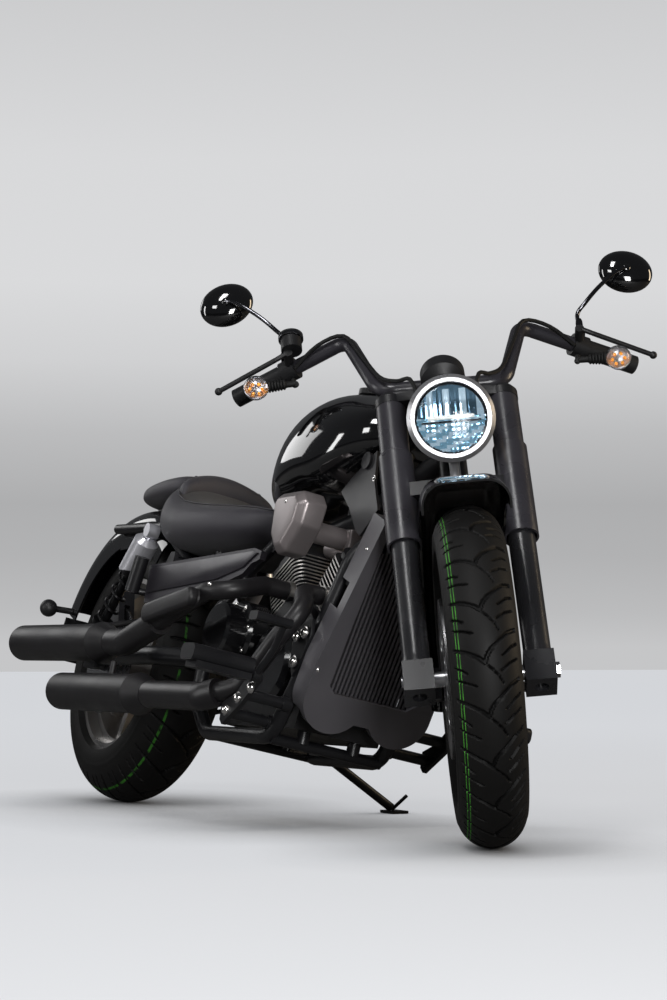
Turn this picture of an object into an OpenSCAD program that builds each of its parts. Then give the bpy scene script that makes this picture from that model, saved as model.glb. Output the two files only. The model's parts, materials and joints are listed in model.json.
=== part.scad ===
// Cruiser motorcycle with a V-twin engine, parked on its side stand.
// Bike frame: rear wheel's ground point at the origin, +X forward, +Y to the rider's left, +Z up.
// Fork frame: front axle at the origin, first coordinate forward, second left, third up the fork.
// The bike is drawn upright and straight, then steered to its right stop and leaned on its stand.

/* [Stance] */
// Distance between the wheel axles
wheelbase = 1610; // [1500:5:1720]
// Lean to the left on the side stand, degrees
lean = 13; // [10:0.5:15]
// Steering at the right stop, degrees to the left
steer = -33; // [-36:1:-28]
// Angle of the steering axis from the vertical, degrees
rake = 31; // [28:0.5:33]
// Distance of the front contact behind the steering axis on the ground
trail = 142; // [130:1:155]

/* [Wheels] */
// Radius of the front tyre
front_r = 321; // [312:1:326]
// Width of the front tyre
front_w = 130; // [115:1:134]
// Radius of the rear tyre
rear_r = 325; // [316:1:330]
// Width of the rear tyre
rear_w = 178; // [160:1:182]
// Outer radius of the front rim flange
front_rim_r = 240; // [230:1:246]
// Outer radius of the rear rim flange
rear_rim_r = 216; // [206:1:222]
// Radius of the axles
axle_r = 10; // [8:0.5:12]
// Bore radius through the hollow axles
axle_bore_r = 6; // [4:0.5:7]
// Radius of the front brake disc
front_disc_r = 150; // [130:1:160]
// Radius of the rear brake disc
rear_disc_r = 130; // [110:1:140]
// Thickness of the brake discs
disc_t = 5; // [3:0.5:6]

/* [Fork] */
// Distance between the fork legs
fork_w = 228; // [222:1:236]
// Height of the fork legs above the axle
fork_h = 676; // [650:1:700]
// Diameter of the fork slider
slider_d = 53; // [48:1:56]
// Diameter of the lower fork cover
cover_d = 69; // [64:1:72]
// Diameter of the upper fork cover
cover_top_d = 60; // [56:1:62]
// Wall of the fork covers
cover_wall = 4; // [2:0.5:5]
// Height of the lower end of the covers
cover_low = 308; // [290:1:330]
// Height of the step in the covers
cover_step = 526; // [500:1:545]
// Radius of the headlight's rim
light_r = 88; // [80:1:92]
// Diameter of the handlebar tube
bar_d = 32; // [25:1:34]

/* [Body] */
// Wall of the mudguards
guard_wall = 4; // [3:0.5:6]
// Gap between tyre and mudguard
guard_gap = 16; // [12:1:24]
// Diameter of the frame tubes
tube_d = 32; // [26:1:36]
// Half width of the frame cradle
cradle_y = 130; // [124:1:136]

/* [Engine] */
// Lean of the front cylinder, degrees forward
front_cyl_angle = 38; // [34:1:40]
// Lean of the rear cylinder, degrees backward
rear_cyl_angle = 34; // [30:1:38]
// Number of cooling fins on a cylinder
fin_count = 11; // [8:1:12]
// Pitch of the cooling fins
fin_pitch = 10; // [8:0.5:10.5]
// Thickness of a cooling fin
fin_t = 3.5; // [2:0.5:5]
// Number of upright slats in the radiator grille
slat_count = 22; // [14:1:24]

/* [Exhaust] */
// Diameter of the silencers
muffler_d = 86; // [78:1:92]
// Wall of the silencers
muffler_wall = 3; // [2:0.5:4]
// Diameter of the exhaust pipes
header_d = 40; // [38:1:48]
// Diameter of the heat shields round the pipes
shield_d = 60; // [56:1:64]

/* [Hidden] */
$fn = 48;
clear = 0.3;
lap = 1.5;

// Distance of the axle in front of the steering axis
offset_u = front_r * sin(rake) - trail * cos(rake);

// Stance: both tyres touch the floor, with the crown of a tyre as a circle of half its width
function low_point(z, r, crown, tilt) = z - (r - crown) * sqrt(1 - tilt * tilt) - crown;
front_x = wheelbase + offset_u * (cos(steer) - 1) * cos(rake);
front_z = front_r + offset_u * (cos(steer) - 1) * sin(rake);
front_y = offset_u * sin(steer);
front_tilt = -cos(steer) * sin(lean) - sin(steer) * sin(rake) * cos(lean);
rear_low = low_point(rear_r * cos(lean), rear_r, rear_w / 2, sin(lean));
front_low = low_point(front_z * cos(lean) - front_y * sin(lean), front_r, front_w / 2, front_tilt);
park_pitch = asin((front_low - rear_low) / front_x);
park_x = -746;
park_y = -253.9;
park_z = -rear_low;

function lean_pt(p) = [p.x, p.y * cos(lean) + p.z * sin(lean), -p.y * sin(lean) + p.z * cos(lean)];
function pitch_pt(p) = [
  p.x * cos(park_pitch) + p.z * sin(park_pitch), p.y, -p.x * sin(park_pitch) + p.z * cos(park_pitch)
];
function parked_pt(p) = pitch_pt(lean_pt(p)) + [park_x, park_y, park_z];

module parked() {
  translate([park_x, park_y, park_z]) rotate([0, park_pitch, 0]) rotate([-lean, 0, 0]) children();
}

module on_fork() {
  translate([wheelbase, 0, front_r]) rotate([0, -rake, 0]) translate([-offset_u, 0, 0])
    rotate([0, 0, steer]) translate([offset_u, 0, 0]) children();
}

module mirrored() {
  children();
  mirror([0, 1, 0]) children();
}

function unit(v) = v / norm(v);

module aim(v) {
  rotate([0, acos(v.z / norm(v)), atan2(v.y, v.x)]) children();
}

module rod(a, b, d) {
  translate(a) aim(b - a) cylinder(h = norm(b - a), d = d);
}

// A round tube through points, with an arc of the given radius at each inner point
function corner_angle(p, i) = acos(unit(p[i] - p[i - 1]) * unit(p[i + 1] - p[i]));
function corner_len(p, i, r) = (i == 0 || i == len(p) - 1) ? 0 : r * tan(corner_angle(p, i) / 2);
module bent_tube(p, d, r) {
  for (i = [0:len(p) - 2]) {
    way = unit(p[i + 1] - p[i]);
    start = i == 0 ? 0 : corner_len(p, i, r) - lap;
    end = i == len(p) - 2 ? 0 : corner_len(p, i + 1, r) - lap;
    rod(p[i] + way * start, p[i + 1] - way * end, d);
  }
  for (i = [1:1:len(p) - 2]) {
    a = unit(p[i] - p[i - 1]);
    b = unit(p[i + 1] - p[i]);
    side = unit(b - a * (a * b));
    up = cross(-side, a);
    c = p[i] - a * corner_len(p, i, r) + side * r;
    multmatrix([
      [-side.x, a.x, up.x, c.x],
      [-side.y, a.y, up.y, c.y],
      [-side.z, a.z, up.z, c.z],
      [0, 0, 0, 1]
    ]) rotate_extrude(angle = corner_angle(p, i)) translate([r, 0]) circle(d = d - 2 * clear);
  }
}

// A closed skin through rings that all have the same number of points
module loft(rings) {
  n = len(rings[0]);
  m = len(rings);
  sides = [for (i = [0:m - 2], j = [0:n - 1]) each [
    [i * n + j, (i + 1) * n + j, (i + 1) * n + (j + 1) % n],
    [i * n + j, (i + 1) * n + (j + 1) % n, i * n + (j + 1) % n]
  ]];
  polyhedron([for (r = rings) each r],
    concat([[for (j = [0:n - 1]) j]], sides, [[for (j = [n - 1:-1:0]) (m - 1) * n + j]]));
}

// One oval ring across the bike at x: columns x, mid height, half width, rise, drop, squareness below and above
function soft(c, e) = sign(c) * pow(abs(c), 2 / e);
function oval_ring(s, n) = [for (k = [0:n - 1]) let (t = 360 * (k + 0.5) / n, e = sin(t) > 0 ? s[6] : s[5])
  [s[0], s[2] * soft(cos(t), e), s[1] + (sin(t) > 0 ? s[3] : s[4]) * soft(sin(t), e)]];
module oval_loft(table, n) {
  loft([for (s = table) oval_ring(s, n)]);
}

// A round cord or coil as a sweep through closely spaced points
function way_at(p, i) = unit(p[min(i + 1, len(p) - 1)] - p[max(i - 1, 0)]);
function sweep_ring(c, w, d, n) = let (a = unit(cross(w, abs(w.z) < 0.9 ? [0, 0, 1] : [1, 0, 0])), b = cross(w, a))
  [for (k = [0:n - 1]) c + d / 2 * (a * cos(360 * k / n) + b * sin(360 * k / n))];
module sweep(p, d, n) {
  loft([for (i = [0:len(p) - 1]) sweep_ring(p[i], way_at(p, i), d, n)]);
}
function curve_pt(p, i, t) = let (
    a = p[max(i - 1, 0)], b = p[i], c = p[i + 1], e = p[min(i + 2, len(p) - 1)])
  0.5 * (2 * b + (c - a) * t + (2 * a - 5 * b + 4 * c - e) * t * t + (3 * b - a - 3 * c + e) * t * t * t);
function smooth(p, steps) = concat([for (i = [0:len(p) - 2], k = [0:steps - 1]) curve_pt(p, i, k / steps)],
  [p[len(p) - 1]]);

module round_rect(w, h, r) {
  square([w - 2 * r, h], center = true);
  square([w, h - 2 * r], center = true);
  for (x = [-1, 1], y = [-1, 1]) translate([x * (w / 2 - r), y * (h / 2 - r)]) circle(r = r);
}

// A plate in the bike's side plane between two distances from the middle
module side_plate(y0, y1) {
  translate([0, y1, 0]) rotate([90, 0, 0]) linear_extrude(y1 - y0) children();
}

// Revolve about an axle that lies across the bike
module across() {
  rotate([90, 0, 0]) children();
}

// Frame

head_low = 462;
head_high = 640;
head_d = 58;
stem_d = 30;
stand_pivot = [622, 166, 190];

function fork_pt(u, w) = [
  wheelbase + u * cos(rake) - w * sin(rake), 0, front_r + u * sin(rake) + w * cos(rake)
];

// Tubes on one side: name of the run, points, diameter, bend radius
right_tubes = [
  ["down tube and cradle", [[1188, 20, 672], [1140, 100, 540], [1066, cradle_y, 262], [1006, cradle_y, 160],
    [690, cradle_y, 160], [604, cradle_y, 230], [604, cradle_y, 330]], tube_d, 60],
  ["rear upright", [[604, cradle_y, 330], [612, 128, 430], [640, 92, 520], [700, 60, 604]], 28, 50],
  ["seat rail", [[700, 60, 590], [600, 88, 545], [340, 92, 545], [222, 128, 640], [-70, 128, 646]], 24, 40]
];

module frame() {
  color("#141416") {
    parked() frame_form();
    stand_lug();
  }
}

module frame_form() {
  difference() {
    union() {
      translate([wheelbase, 0, front_r]) rotate([0, -rake, 0]) translate([-offset_u, 0, head_low])
        cylinder(h = head_high - head_low, d = head_d);
      bent_tube([fork_pt(-offset_u, 560), [960, 0, 655], [690, 0, 604]], 44, 120);
      mirrored() for (t = right_tubes) bent_tube(t[1], t[2], t[3]);
      rod([604, -cradle_y, 330], [604, cradle_y, 330], 40);
      rod([700, -70, 590], [700, 70, 590], 28);
      rod([1006, -cradle_y, 158], [1006, cradle_y, 158], 24);
      rod([690, -cradle_y, 160], [690, cradle_y, 160], 24);
      mirrored() {
        side_plate(cradle_y + 10, cradle_y + 18)
          polygon([[1050, 385], [1118, 404], [1124, 372], [1100, 310], [1076, 284], [1054, 320]]);
        for (b = [[1072, 368], [1104, 376], [1078, 312]])
          translate([b.x, cradle_y + 17, b.y]) rotate([-90, 0, 0]) cylinder(h = 9, d = 24);
        // Carriers of the neck cover, side cover, seat, engine, spring and foot bracket
        rod([1176, 36, 640], [1152, 88.8, 640], 14);
        rod([400, 92, 538], [400, 146, 538], 12);
        rod([640, 92, 520], [640, 146, 520], 14);
        translate([470, 90, 545]) cylinder(h = 37, d = 20);
        for (x = [1010, 706]) translate([x, 60, 160]) cylinder(h = 26, d = 28);
        rod([shock_top.x, 118, shock_top.z + 2], [shock_top.x, eye_y, shock_top.z + 2], 30);
        for (b = bracket_bolts) rod([b.x, cradle_y, b.y], [b.x, 151, b.y], 30);
      }
      translate([900, 0, 655]) cylinder(h = 27.5, d = 16);
      translate([740, 0, 620]) cylinder(h = 40.5, d = 16);
    }
    translate([wheelbase, 0, front_r]) rotate([0, -rake, 0]) translate([-offset_u, 0, head_low - 1])
      cylinder(h = head_high - head_low + 2, d = stem_d + 2 * clear);
  }
}

// The stand turns about a slanted pin, so that its leg folds back along the bike
stand_foot = [645 + park_x, 395 + park_y, 0];
stand_hinge = parked_pt(stand_pivot);
stand_leg = stand_foot + [0, -6, 12] - stand_hinge;
stand_axis = unit([0, -stand_leg.z, stand_leg.y]);
pin_d = 16;
module stand_lug() {
  translate(stand_hinge - stand_axis * 30) aim(stand_axis) {
    cylinder(h = 19.4, d = 34);
    cylinder(h = 46, d = pin_d);
  }
  rod(parked_pt([660, cradle_y, 184]), stand_hinge - stand_axis * 27, 20);
}

// Swingarm and springs

arm_y = 142;
arm_d = 44;
pivot_x = 604;
pivot_z = 330;
shock_top = [214, 158, 622];
shock_low = [22, 158, 382];
eye_y = 144;
fit_gap = 0.08;

module swingarm() {
  color("#1b1b1e") parked() difference() {
    union() {
      translate([pivot_x, 106, pivot_z]) across() cylinder(h = 212, d = 56);
      mirrored() {
        bent_tube([[pivot_x, 82, pivot_z], [505, 88, pivot_z], [372, arm_y, 328], [-34, arm_y, rear_r]], arm_d, 70);
        side_plate(arm_y - 14, arm_y + 14) translate([-34, rear_r - 30]) square([68, 60]);
        side_plate(arm_y - 14, eye_y)
          polygon([[-6, rear_r + 10], [48, rear_r + 10], [38, shock_low.z + 14], [6, shock_low.z + 14]]);
      }
      rod([440, -110, 330], [440, 110, 330], 34);
      translate([0, arm_y + 30, rear_r]) across() cylinder(h = 2 * arm_y + 60, r = axle_r);
      mirrored() translate([0, arm_y + 26, rear_r]) across() cylinder(h = 12, d = 34, $fn = 6);
      translate([0, 129, rear_r]) across() cylinder(h = 10, d = 34);
      translate([0, -107, rear_r]) across() cylinder(h = 22, d = 34);
    }
    translate([pivot_x, 107, pivot_z]) across() cylinder(h = 214, d = 40 + 2 * clear);
    translate([0, 200, rear_r]) across() cylinder(h = 400, r = axle_bore_r);
  }
}

// Spring and damper: the silver cover is a cup over the top of the coil
spring_turns = 6;
module shock() {
  long = norm(shock_top - shock_low);
  translate(shock_low) aim(shock_top - shock_low) {
    translate([0, 0, 10]) cylinder(h = long - 20, d = 22);
    translate([0, 0, 22]) cylinder(h = 10, d = 54);
    translate([0, 0, long - 122]) difference() {
      cylinder(h = 92, d = 60);
      translate([0, 0, -1]) cylinder(h = 85, d = 54);
    }
    translate([0, 0, long - 30]) cylinder(h = 12, d1 = 60, d2 = 36);
    sweep([for (k = [0:spring_turns * 14]) let (t = k / 14)
      [20 * cos(360 * t), 20 * sin(360 * t), 35 + t * (long - 68) / spring_turns]], 7.5, 6);
  }
  for (p = [shock_top, shock_low]) translate([p.x, 172, p.z]) across() cylinder(h = 172 - eye_y, d = 34);
}

module rear_shocks() {
  color("#b9bcc2") parked() mirrored() shock();
}

// Engine

crank = [930, 330];
case_y = 100;
barrel_base = 132;
barrel_top = 290;
fin_half = 78;
fin_y = 88;

function cyl_pt(angle, l) = [crank.x + l * sin(angle), crank.y + l * cos(angle)];
front_port = cyl_pt(front_cyl_angle, 170);
rear_port = cyl_pt(-rear_cyl_angle, 150) + [22, 24];
port_d = 46;
port_y = 98;

module cylinder_frame(angle) {
  translate([crank.x, 0, crank.y]) rotate([0, angle, 0]) children();
}

module crankcase() {
  color("#1f1f22") parked() {
    difference() {
      side_plate(-case_y, case_y) {
        translate(crank) circle(r = 128);
        translate([770, 340]) circle(r = 106);
        polygon([[770, 234], [930, 202], [930, 458], [770, 446]]);
        polygon([[700, 186], [1040, 186], [1052, 260], [1000, 300], [700, 300]]);
      }
      translate([pivot_x, 160, pivot_z]) across() cylinder(h = 320, d = 64);
      for (a = [front_cyl_angle, -rear_cyl_angle]) cylinder_frame(a)
        translate([-86, -120, barrel_base]) cube([172, 240, 220]);
      translate([640, belt_y - 14, 262]) cube([146, 60, 150]);
    }
    for (a = [front_cyl_angle, -rear_cyl_angle]) cylinder_frame(a)
      translate([0, 0, 112]) linear_extrude(barrel_base - 112) round_rect(132, 164, 30);
  }
}

module finned_barrel(angle) {
  cylinder_frame(angle) {
    translate([0, 0, barrel_base + clear]) cylinder(h = barrel_top - barrel_base - 30, d = 118);
    for (k = [0:fin_count - 1]) translate([0, 0, barrel_base + 8 + k * fin_pitch])
      linear_extrude(fin_t) round_rect(2 * fin_half - 16, 2 * fin_y, 24);
    translate([0, 0, barrel_base + 10 + fin_count * fin_pitch - 2]) linear_extrude(14) round_rect(128, 160, 26);
    translate([0, 0, barrel_base + 10 + fin_count * fin_pitch + 8]) linear_extrude(24) round_rect(112, 140, 34);
  }
}

module front_cylinder() {
  color("#26262a") parked() {
    finned_barrel(front_cyl_angle);
    rod([front_port.x, -60, front_port.y], [front_port.x, -port_y, front_port.y], port_d);
  }
}

module rear_cylinder() {
  color("#26262a") parked() {
    finned_barrel(-rear_cyl_angle);
    rod([rear_port.x, -60, rear_port.y], [rear_port.x, -port_y, rear_port.y], port_d);
  }
}

module engine_covers() {
  color("#161618") parked() {
    translate([772, -case_y, 372]) across() {
      cylinder(h = 46, d = 150);
      translate([0, 0, 46]) cylinder(h = 8, d1 = 150, d2 = 136);
      translate([0, 0, 54]) cylinder(h = 40, d = 126);
      translate([0, 0, 94]) cylinder(h = 6, d1 = 126, d2 = 112);
    }
    translate([crank.x + 6, -case_y, crank.y - 14]) across() {
      cylinder(h = 30, d = 172);
      translate([0, 0, 30]) cylinder(h = 10, d1 = 172, d2 = 150);
    }
    translate([crank.x, case_y + 44, crank.y]) across() {
      cylinder(h = 10, d1 = 150, d2 = 176);
      translate([0, 0, 10]) cylinder(h = 34, d = 176);
    }
    side_plate(case_y + 16, case_y + 26) translate([742, 342]) circle(d = 130);
    side_plate(case_y, case_y + 26) translate([788, 300]) square([30, 84]);
  }
}

module pod() {
  corners = [[962, 662], [1058, 664], [1084, 640], [1074, 590], [1030, 536], [992, 530], [958, 566], [946, 640]];
  hull() {
    side_plate(148, 192) polygon(corners);
    side_plate(192, 214) translate([1012, 602]) scale(0.74) translate([-1012, -602]) polygon(corners);
  }
  translate([985, 149, 598]) across() cylinder(h = 100, d = 46);
}

module air_cleaners() {
  color("#5a5550") parked() {
    mirrored() pod();
    translate([955, -52, 578]) cube([64, 104, 43]);
    rod([843, 0, 592], [1038, 0, 592], 36);
  }
}

filter_d = 68;
module filter_frame() {
  translate([1047.2, -45, 226]) rotate([0, 99.2, 0]) children();
}

module oil_filter() {
  color("#2a2a2d") parked() filter_frame() {
    cylinder(h = 40, d = filter_d);
    translate([0, 0, 40]) cylinder(h = 7, d1 = filter_d, d2 = filter_d - 14);
  }
}

// Tank and its trim: columns x, mid height, half width, rise, drop, squareness below and above
tank_table = [
  [652, 712, 52, 70, 46, 2.4, 2.2],
  [690, 716, 92, 118, 58, 2.6, 2.1],
  [750, 732, 130, 152, 70, 2.7, 2.1],
  [820, 748, 156, 166, 76, 2.8, 2.1],
  [900, 762, 166, 164, 78, 2.8, 2.15],
  [980, 772, 164, 148, 80, 2.8, 2.2],
  [1050, 790, 150, 108, 68, 2.8, 2.3],
  [1105, 806, 122, 74, 54, 2.8, 2.4],
  [1140, 812, 84, 52, 40, 2.6, 2.4]
];

module tank() {
  color("#08080a") parked() oval_loft(tank_table, 36);
}

module tank_console() {
  color("#111113") parked() {
    difference() {
      oval_loft([for (s = tank_table) if (s[0] > 700 && s[0] < 1110) 
        [s[0], s[1] + 8, s[2] * 0.3, s[3] + 2, s[4] * 0.2, 2.6, 2.6]], 24);
      oval_loft(tank_table, 36);
    }
    translate([905, 0, 930]) cylinder(h = 12, d = 78);
  }
}

module neck_covers() {
  color("#3a3a3d") parked() mirrored() {
    side_plate(92, 98) polygon([
      [1028, 688], [1062, 714], [1108, 742], [1152, 768], [1168, 700], [1206, 640], [1150, 588], [1128, 600],
      [1080, 650]]);
    translate([1122, 104, 748]) across() cylinder(h = 9, d = 36);
  }
}

// Radiator in its own slope: first along the slope, up the front of the down tubes
rad_tilt = 19.7;
rad_foot = [1147, 283];
module rad_frame() {
  translate([rad_foot.x, 0, rad_foot.y]) rotate([0, rad_tilt, 0]) children();
}

module radiator() {
  color("#1c1c1e") parked() rad_frame() {
    translate([-52, -104, 6]) cube([34, 208, 318]);
    for (y = [-104, 92]) translate([-58, y, -8]) cube([41, 12, 346]);
    mirrored() {
      translate([-38, 111.5, 284]) across() cylinder(h = 9, d = 26);
      translate([-64, 94, 30]) cube([10, 16.6, 16]);
      translate([-73, 94, 190]) cube([17, 9.5, 20]);
    }
  }
}

slat_w = 4.5;
window_w = 206;
module radiator_shroud() {
  color("#1a1a1c") parked() difference() {
    rad_frame() shroud_form();
    filter_frame() translate([0, 0, -8]) cylinder(h = 60, d = filter_d + 6);
  }
}

module shroud_form() {
  union() {
    difference() {
      rotate([0, 90, 0]) translate([0, 0, -46]) linear_extrude(62) {
        polygon([[-352, -112], [-352, 112], [-40, 146], [30, 146], [30, -146], [-40, -146]]);
        translate([30, -76]) square([40, 152]);
        for (y = [-76, 76]) translate([30, y]) circle(r = 70);
      }
      translate([-60, 0, 0]) rotate([0, 90, 0]) linear_extrude(90) {
        polygon([[-326, -96], [-326, 96], [0, 103], [16, 84], [16, -84], [0, -103]]);
      }
      translate([-60, -108, -2]) cube([44, 216, 346]);
      translate([-60, -134, -92]) cube([50, 268, 300]);
      translate([-60, -112, 200]) cube([50, 224, 100]);
    }
    pitch = window_w / slat_count;
    for (k = [0:slat_count - 1]) translate([0, -window_w / 2 + (k + 0.5) * pitch - slat_w / 2, -15])
      cube([8, slat_w, abs(k - slat_count / 2 + 0.5) > slat_count / 2 - 2 ? 300 : 341]);
  }
}

// Seats: columns x, mid height, half width, rise, drop, squareness below and above
seat_table = [
  [190, 722, 96, 44, 34, 2.6, 2.6],
  [222, 716, 138, 68, 62, 2.8, 3.2],
  [280, 700, 166, 82, 92, 3.0, 3.4],
  [350, 674, 180, 70, 88, 3.0, 3.2],
  [430, 654, 180, 54, 72, 3.0, 3.0],
  [520, 646, 164, 46, 58, 3.0, 2.9],
  [600, 650, 136, 44, 46, 2.9, 2.8],
  [648, 656, 112, 42, 36, 2.6, 2.6]
];

pillion_table = [
  [-92, 742, 60, 18, 20, 2.6, 2.6],
  [-60, 742, 88, 28, 24, 2.8, 2.8],
  [20, 746, 104, 32, 28, 2.8, 2.8],
  [110, 752, 108, 32, 30, 2.8, 2.8],
  [172, 756, 100, 30, 26, 2.8, 2.8],
  [186, 756, 88, 24, 16, 2.6, 2.6]
];

module seat() {
  color("#2b2a2e") parked() difference() {
    oval_loft(seat_table, 32);
    translate([404, 0, 802]) rotate([90, 0, 0]) cylinder(h = 236, r = 104, center = true);
  }
}

module pillion_seat() {
  color("#2b2a2e") parked() difference() {
    union() {
      oval_loft(pillion_table, 28);
      translate([-50, -44, 690]) cube([200, 88, 40]);
    }
    translate([0, 150, rear_r]) across() cylinder(h = 300, r = rear_guard_r + clear, $fn = 96);
  }
}

rear_guard_r = 382;
front_guard_r = 378;

module guard_profile(r, half_w, skirt) {
  difference() {
    intersection() {
      union() {
        translate([r - half_w * 0.55, 0]) circle(r = half_w * 0.55 + 0.01);
        translate([r - half_w * 0.55, -half_w * 0.45]) circle(r = half_w * 0.55);
        translate([r - half_w * 0.55, half_w * 0.45]) circle(r = half_w * 0.55);
        translate([r - half_w * 0.55, -half_w * 0.45]) square([half_w * 0.55, half_w * 0.9]);
        translate([r - skirt, -half_w]) square([skirt - half_w * 0.55, 2 * half_w]);
      }
      translate([r - skirt, -half_w]) square([skirt + 1, 2 * half_w]);
    }
    translate([r - half_w * 0.55, -half_w * 0.45]) circle(r = half_w * 0.55 - guard_wall);
    translate([r - half_w * 0.55, half_w * 0.45]) circle(r = half_w * 0.55 - guard_wall);
    translate([r - half_w * 0.55 - 1, -half_w * 0.45]) square([half_w * 0.55 - guard_wall + 1, half_w * 0.9]);
    translate([r - skirt - 1, -half_w + guard_wall]) square([skirt - half_w * 0.55 + 2, 2 * (half_w - guard_wall)]);
  }
}

module rear_fender() {
  color("#151517") parked() {
    translate([0, 0, rear_r]) rotate([90, 0, 0]) rotate([0, 0, 54]) rotate_extrude(angle = 106, $fn = 96)
      guard_profile(rear_guard_r, 112, 96);
    mirrored() side_plate(111.9, 115.7)
      polygon([[-60, 596], [-60, 662], [100, 662], [204, 656], [204, 630], [120, 606]]);
  }
}

// A place on the rear guard: first outward, second left, third along it to the rear and down
module on_guard(angle) {
  translate([0, 0, rear_r]) rotate([0, -angle, 0]) translate([rear_guard_r, 0, 0]) children();
}

module rear_lamps() {
  color("#101012") parked() {
    on_guard(146) translate([0, -34, -22]) cube([34, 68, 40]);
    on_guard(157) translate([0, -22, -12]) cube([11, 44, 62]);
    difference() {
      translate([-402, -95, 330]) rotate([0, 14, 0]) cube([4, 190, 110]);
      for (y = [-60, 60]) translate([-378, y, 420]) rotate([0, 104, 0]) cylinder(h = 40, r = 3.5, center = true);
    }
    mirrored() {
      rod([-298, 113, 446], [-298, 160, 442], 16);
      translate([-296, 176, 440]) sphere(d = 44);
    }
  }
}

module side_covers() {
  color("#2e2d31") parked() mirrored() side_plate(146, 160)
    polygon([[250, 538], [800, 560], [838, 552], [836, 534], [800, 526], [764, 504], [640, 478], [262, 448]]);
}

// Exhausts on the right side

upper_path = [[rear_port.x, -port_y - clear, rear_port.y], [rear_port.x, -150, rear_port.y],
  [893, -238, 446], [838, -264, 440], [470, -265, 330], [330, -265, 329]];
lower_path = [[front_port.x, -port_y - clear, front_port.y], [front_port.x, -140, front_port.y],
  [1128, -176, 418], [1092, -204, 350], [1022, -226, 246], [930, -265, 214], [600, -265, 214]];
upper_bend = 44;
lower_bend = 40;

module silencer(x0, x1, z) {
  difference() {
    union() {
      translate([x0, -265, z]) rotate([0, 90, 0]) cylinder(h = x1 - x0, d = muffler_d);
      translate([x1, -265, z]) rotate([0, 90, 0]) cylinder(h = 60, d1 = muffler_d + 8, d2 = shield_d);
    }
    translate([x0 - 1, -265, z]) rotate([0, 90, 0]) cylinder(h = 160, d = muffler_d - 2 * muffler_wall);
  }
}

module exhaust_upper() {
  color("#1d1c1b") parked() {
    bent_tube(upper_path, header_d, upper_bend);
    silencer(-163, 330, 329);
    rod([270, -262, 329 + muffler_d / 2 - 6], [276, -138.2, 412], 14);
  }
}

module exhaust_lower() {
  color("#1d1c1b") parked() {
    bent_tube(lower_path, header_d, lower_bend);
    silencer(151, 600, 214);
    rod([420, -265, 214 + muffler_d / 2 - 4], [420, -265, 329 - muffler_d / 2 - clear], 14);
  }
}

upper_shield = [upper_path[3] * 0.416 + upper_path[4] * 0.584, upper_path[4], [392, -265, 329.4]];
lower_shield = [lower_path[6] * 0.81 + lower_path[5] * 0.19, lower_path[5],
  lower_path[5] * 0.6 + lower_path[4] * 0.4];
pad_ends = [[635, 387], [835, 418]];
module pipe_shield(path, inner, bend) {
  difference() {
    bent_tube(path, shield_d, bend);
    bent_tube(inner, header_d + 2 * clear, bend);
  }
}

module heat_shields() {
  color("#211f1e") parked() {
    pipe_shield(lower_shield, [lower_path[6], lower_path[5], lower_path[4]], lower_bend);
    pipe_shield(upper_shield, [upper_path[3], upper_path[4], upper_path[5]], upper_bend);
    difference() {
      union() {
        hull() for (p = pad_ends) translate([p.x, -286, p.y]) across() cylinder(h = 24, d1 = 42, d2 = 32, $fn = 32);
        for (x = [680, 790]) translate([x, -270, 440 - (838 - x) * 0.299]) across() cylinder(h = 18, d = 14);
      }
      rod(upper_path[3], upper_path[4], header_d + 2 * clear);
    }
  }
}

bracket_bolts = [[1060, 228], [1008, 188]];
module peg_side() {
  side_plate(236, 246)
    polygon([[990, 172], [1004, 162], [1070, 204], [1134, 256], [1122, 284], [1084, 266], [1040, 226], [986, 206]]);
  for (b = bracket_bolts) rod([b.x, 151, b.y], [b.x, 236, b.y], 24);
  translate([1110, 400, 279]) across() linear_extrude(138) round_rect(62, 34, 13);
  translate([1108, 270, 272]) across() cylinder(h = 34, d = 22);
  side_plate(264, 388) translate([1086, 250]) square([52, 14]);
  translate([1132, 262, 262]) across() cylinder(h = 16, d = 26);
  bent_tube([[1132, 254, 262], [1190, 254, 316], [1232, 262, 362]], 14, 30);
  translate([1236, 334, 366]) across() linear_extrude(80) round_rect(36, 18, 6);
}

module foot_controls() {
  color("#1a1a1c") parked() mirrored() peg_side();
}

module passenger_pegs() {
  color("#27262a") parked() mirrored() {
    side_plate(128, 138) polygon([[246, 456], [300, 400], [330, 556], [330, 574], [306, 574], [246, 490]]);
    rod([318, 112.6, 560], [318, 130, 560], 14);
    rod([252, 134, 474], [234, 184, 474], 16);
    translate([234, 184, 470]) rotate([0, 14, 0]) cylinder(h = 84, d = 34);
  }
}

belt_y = 103;
belt_w = 18;
rear_pulley_r = 96;
front_pulley_r = 42;
front_pulley = [722, 340];
module belt_outline(grow) {
  d = [front_pulley.x, front_pulley.y - rear_r];
  turn = acos((rear_pulley_r - front_pulley_r) / norm(d));
  base = atan2(d.y, d.x);
  translate([0, rear_r]) circle(r = rear_pulley_r + grow);
  translate(front_pulley) circle(r = front_pulley_r + grow);
  polygon([for (q = [[base + turn, 0], [base + turn, 1], [base - turn, 1], [base - turn, 0]])
    (q.y == 0 ? [0, rear_r] : front_pulley)
      + ((q.y == 0 ? rear_pulley_r : front_pulley_r) + grow) * [cos(q.x), sin(q.x)]]);
}

module drive_belt() {
  color("#0e0e0f") parked() {
    side_plate(belt_y - belt_w / 2, belt_y + belt_w / 2) difference() {
      belt_outline(5.5);
      belt_outline(clear);
    }
    side_plate(belt_y - 2, belt_y + belt_w / 2) translate(front_pulley) circle(r = front_pulley_r);
  }
}

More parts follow.
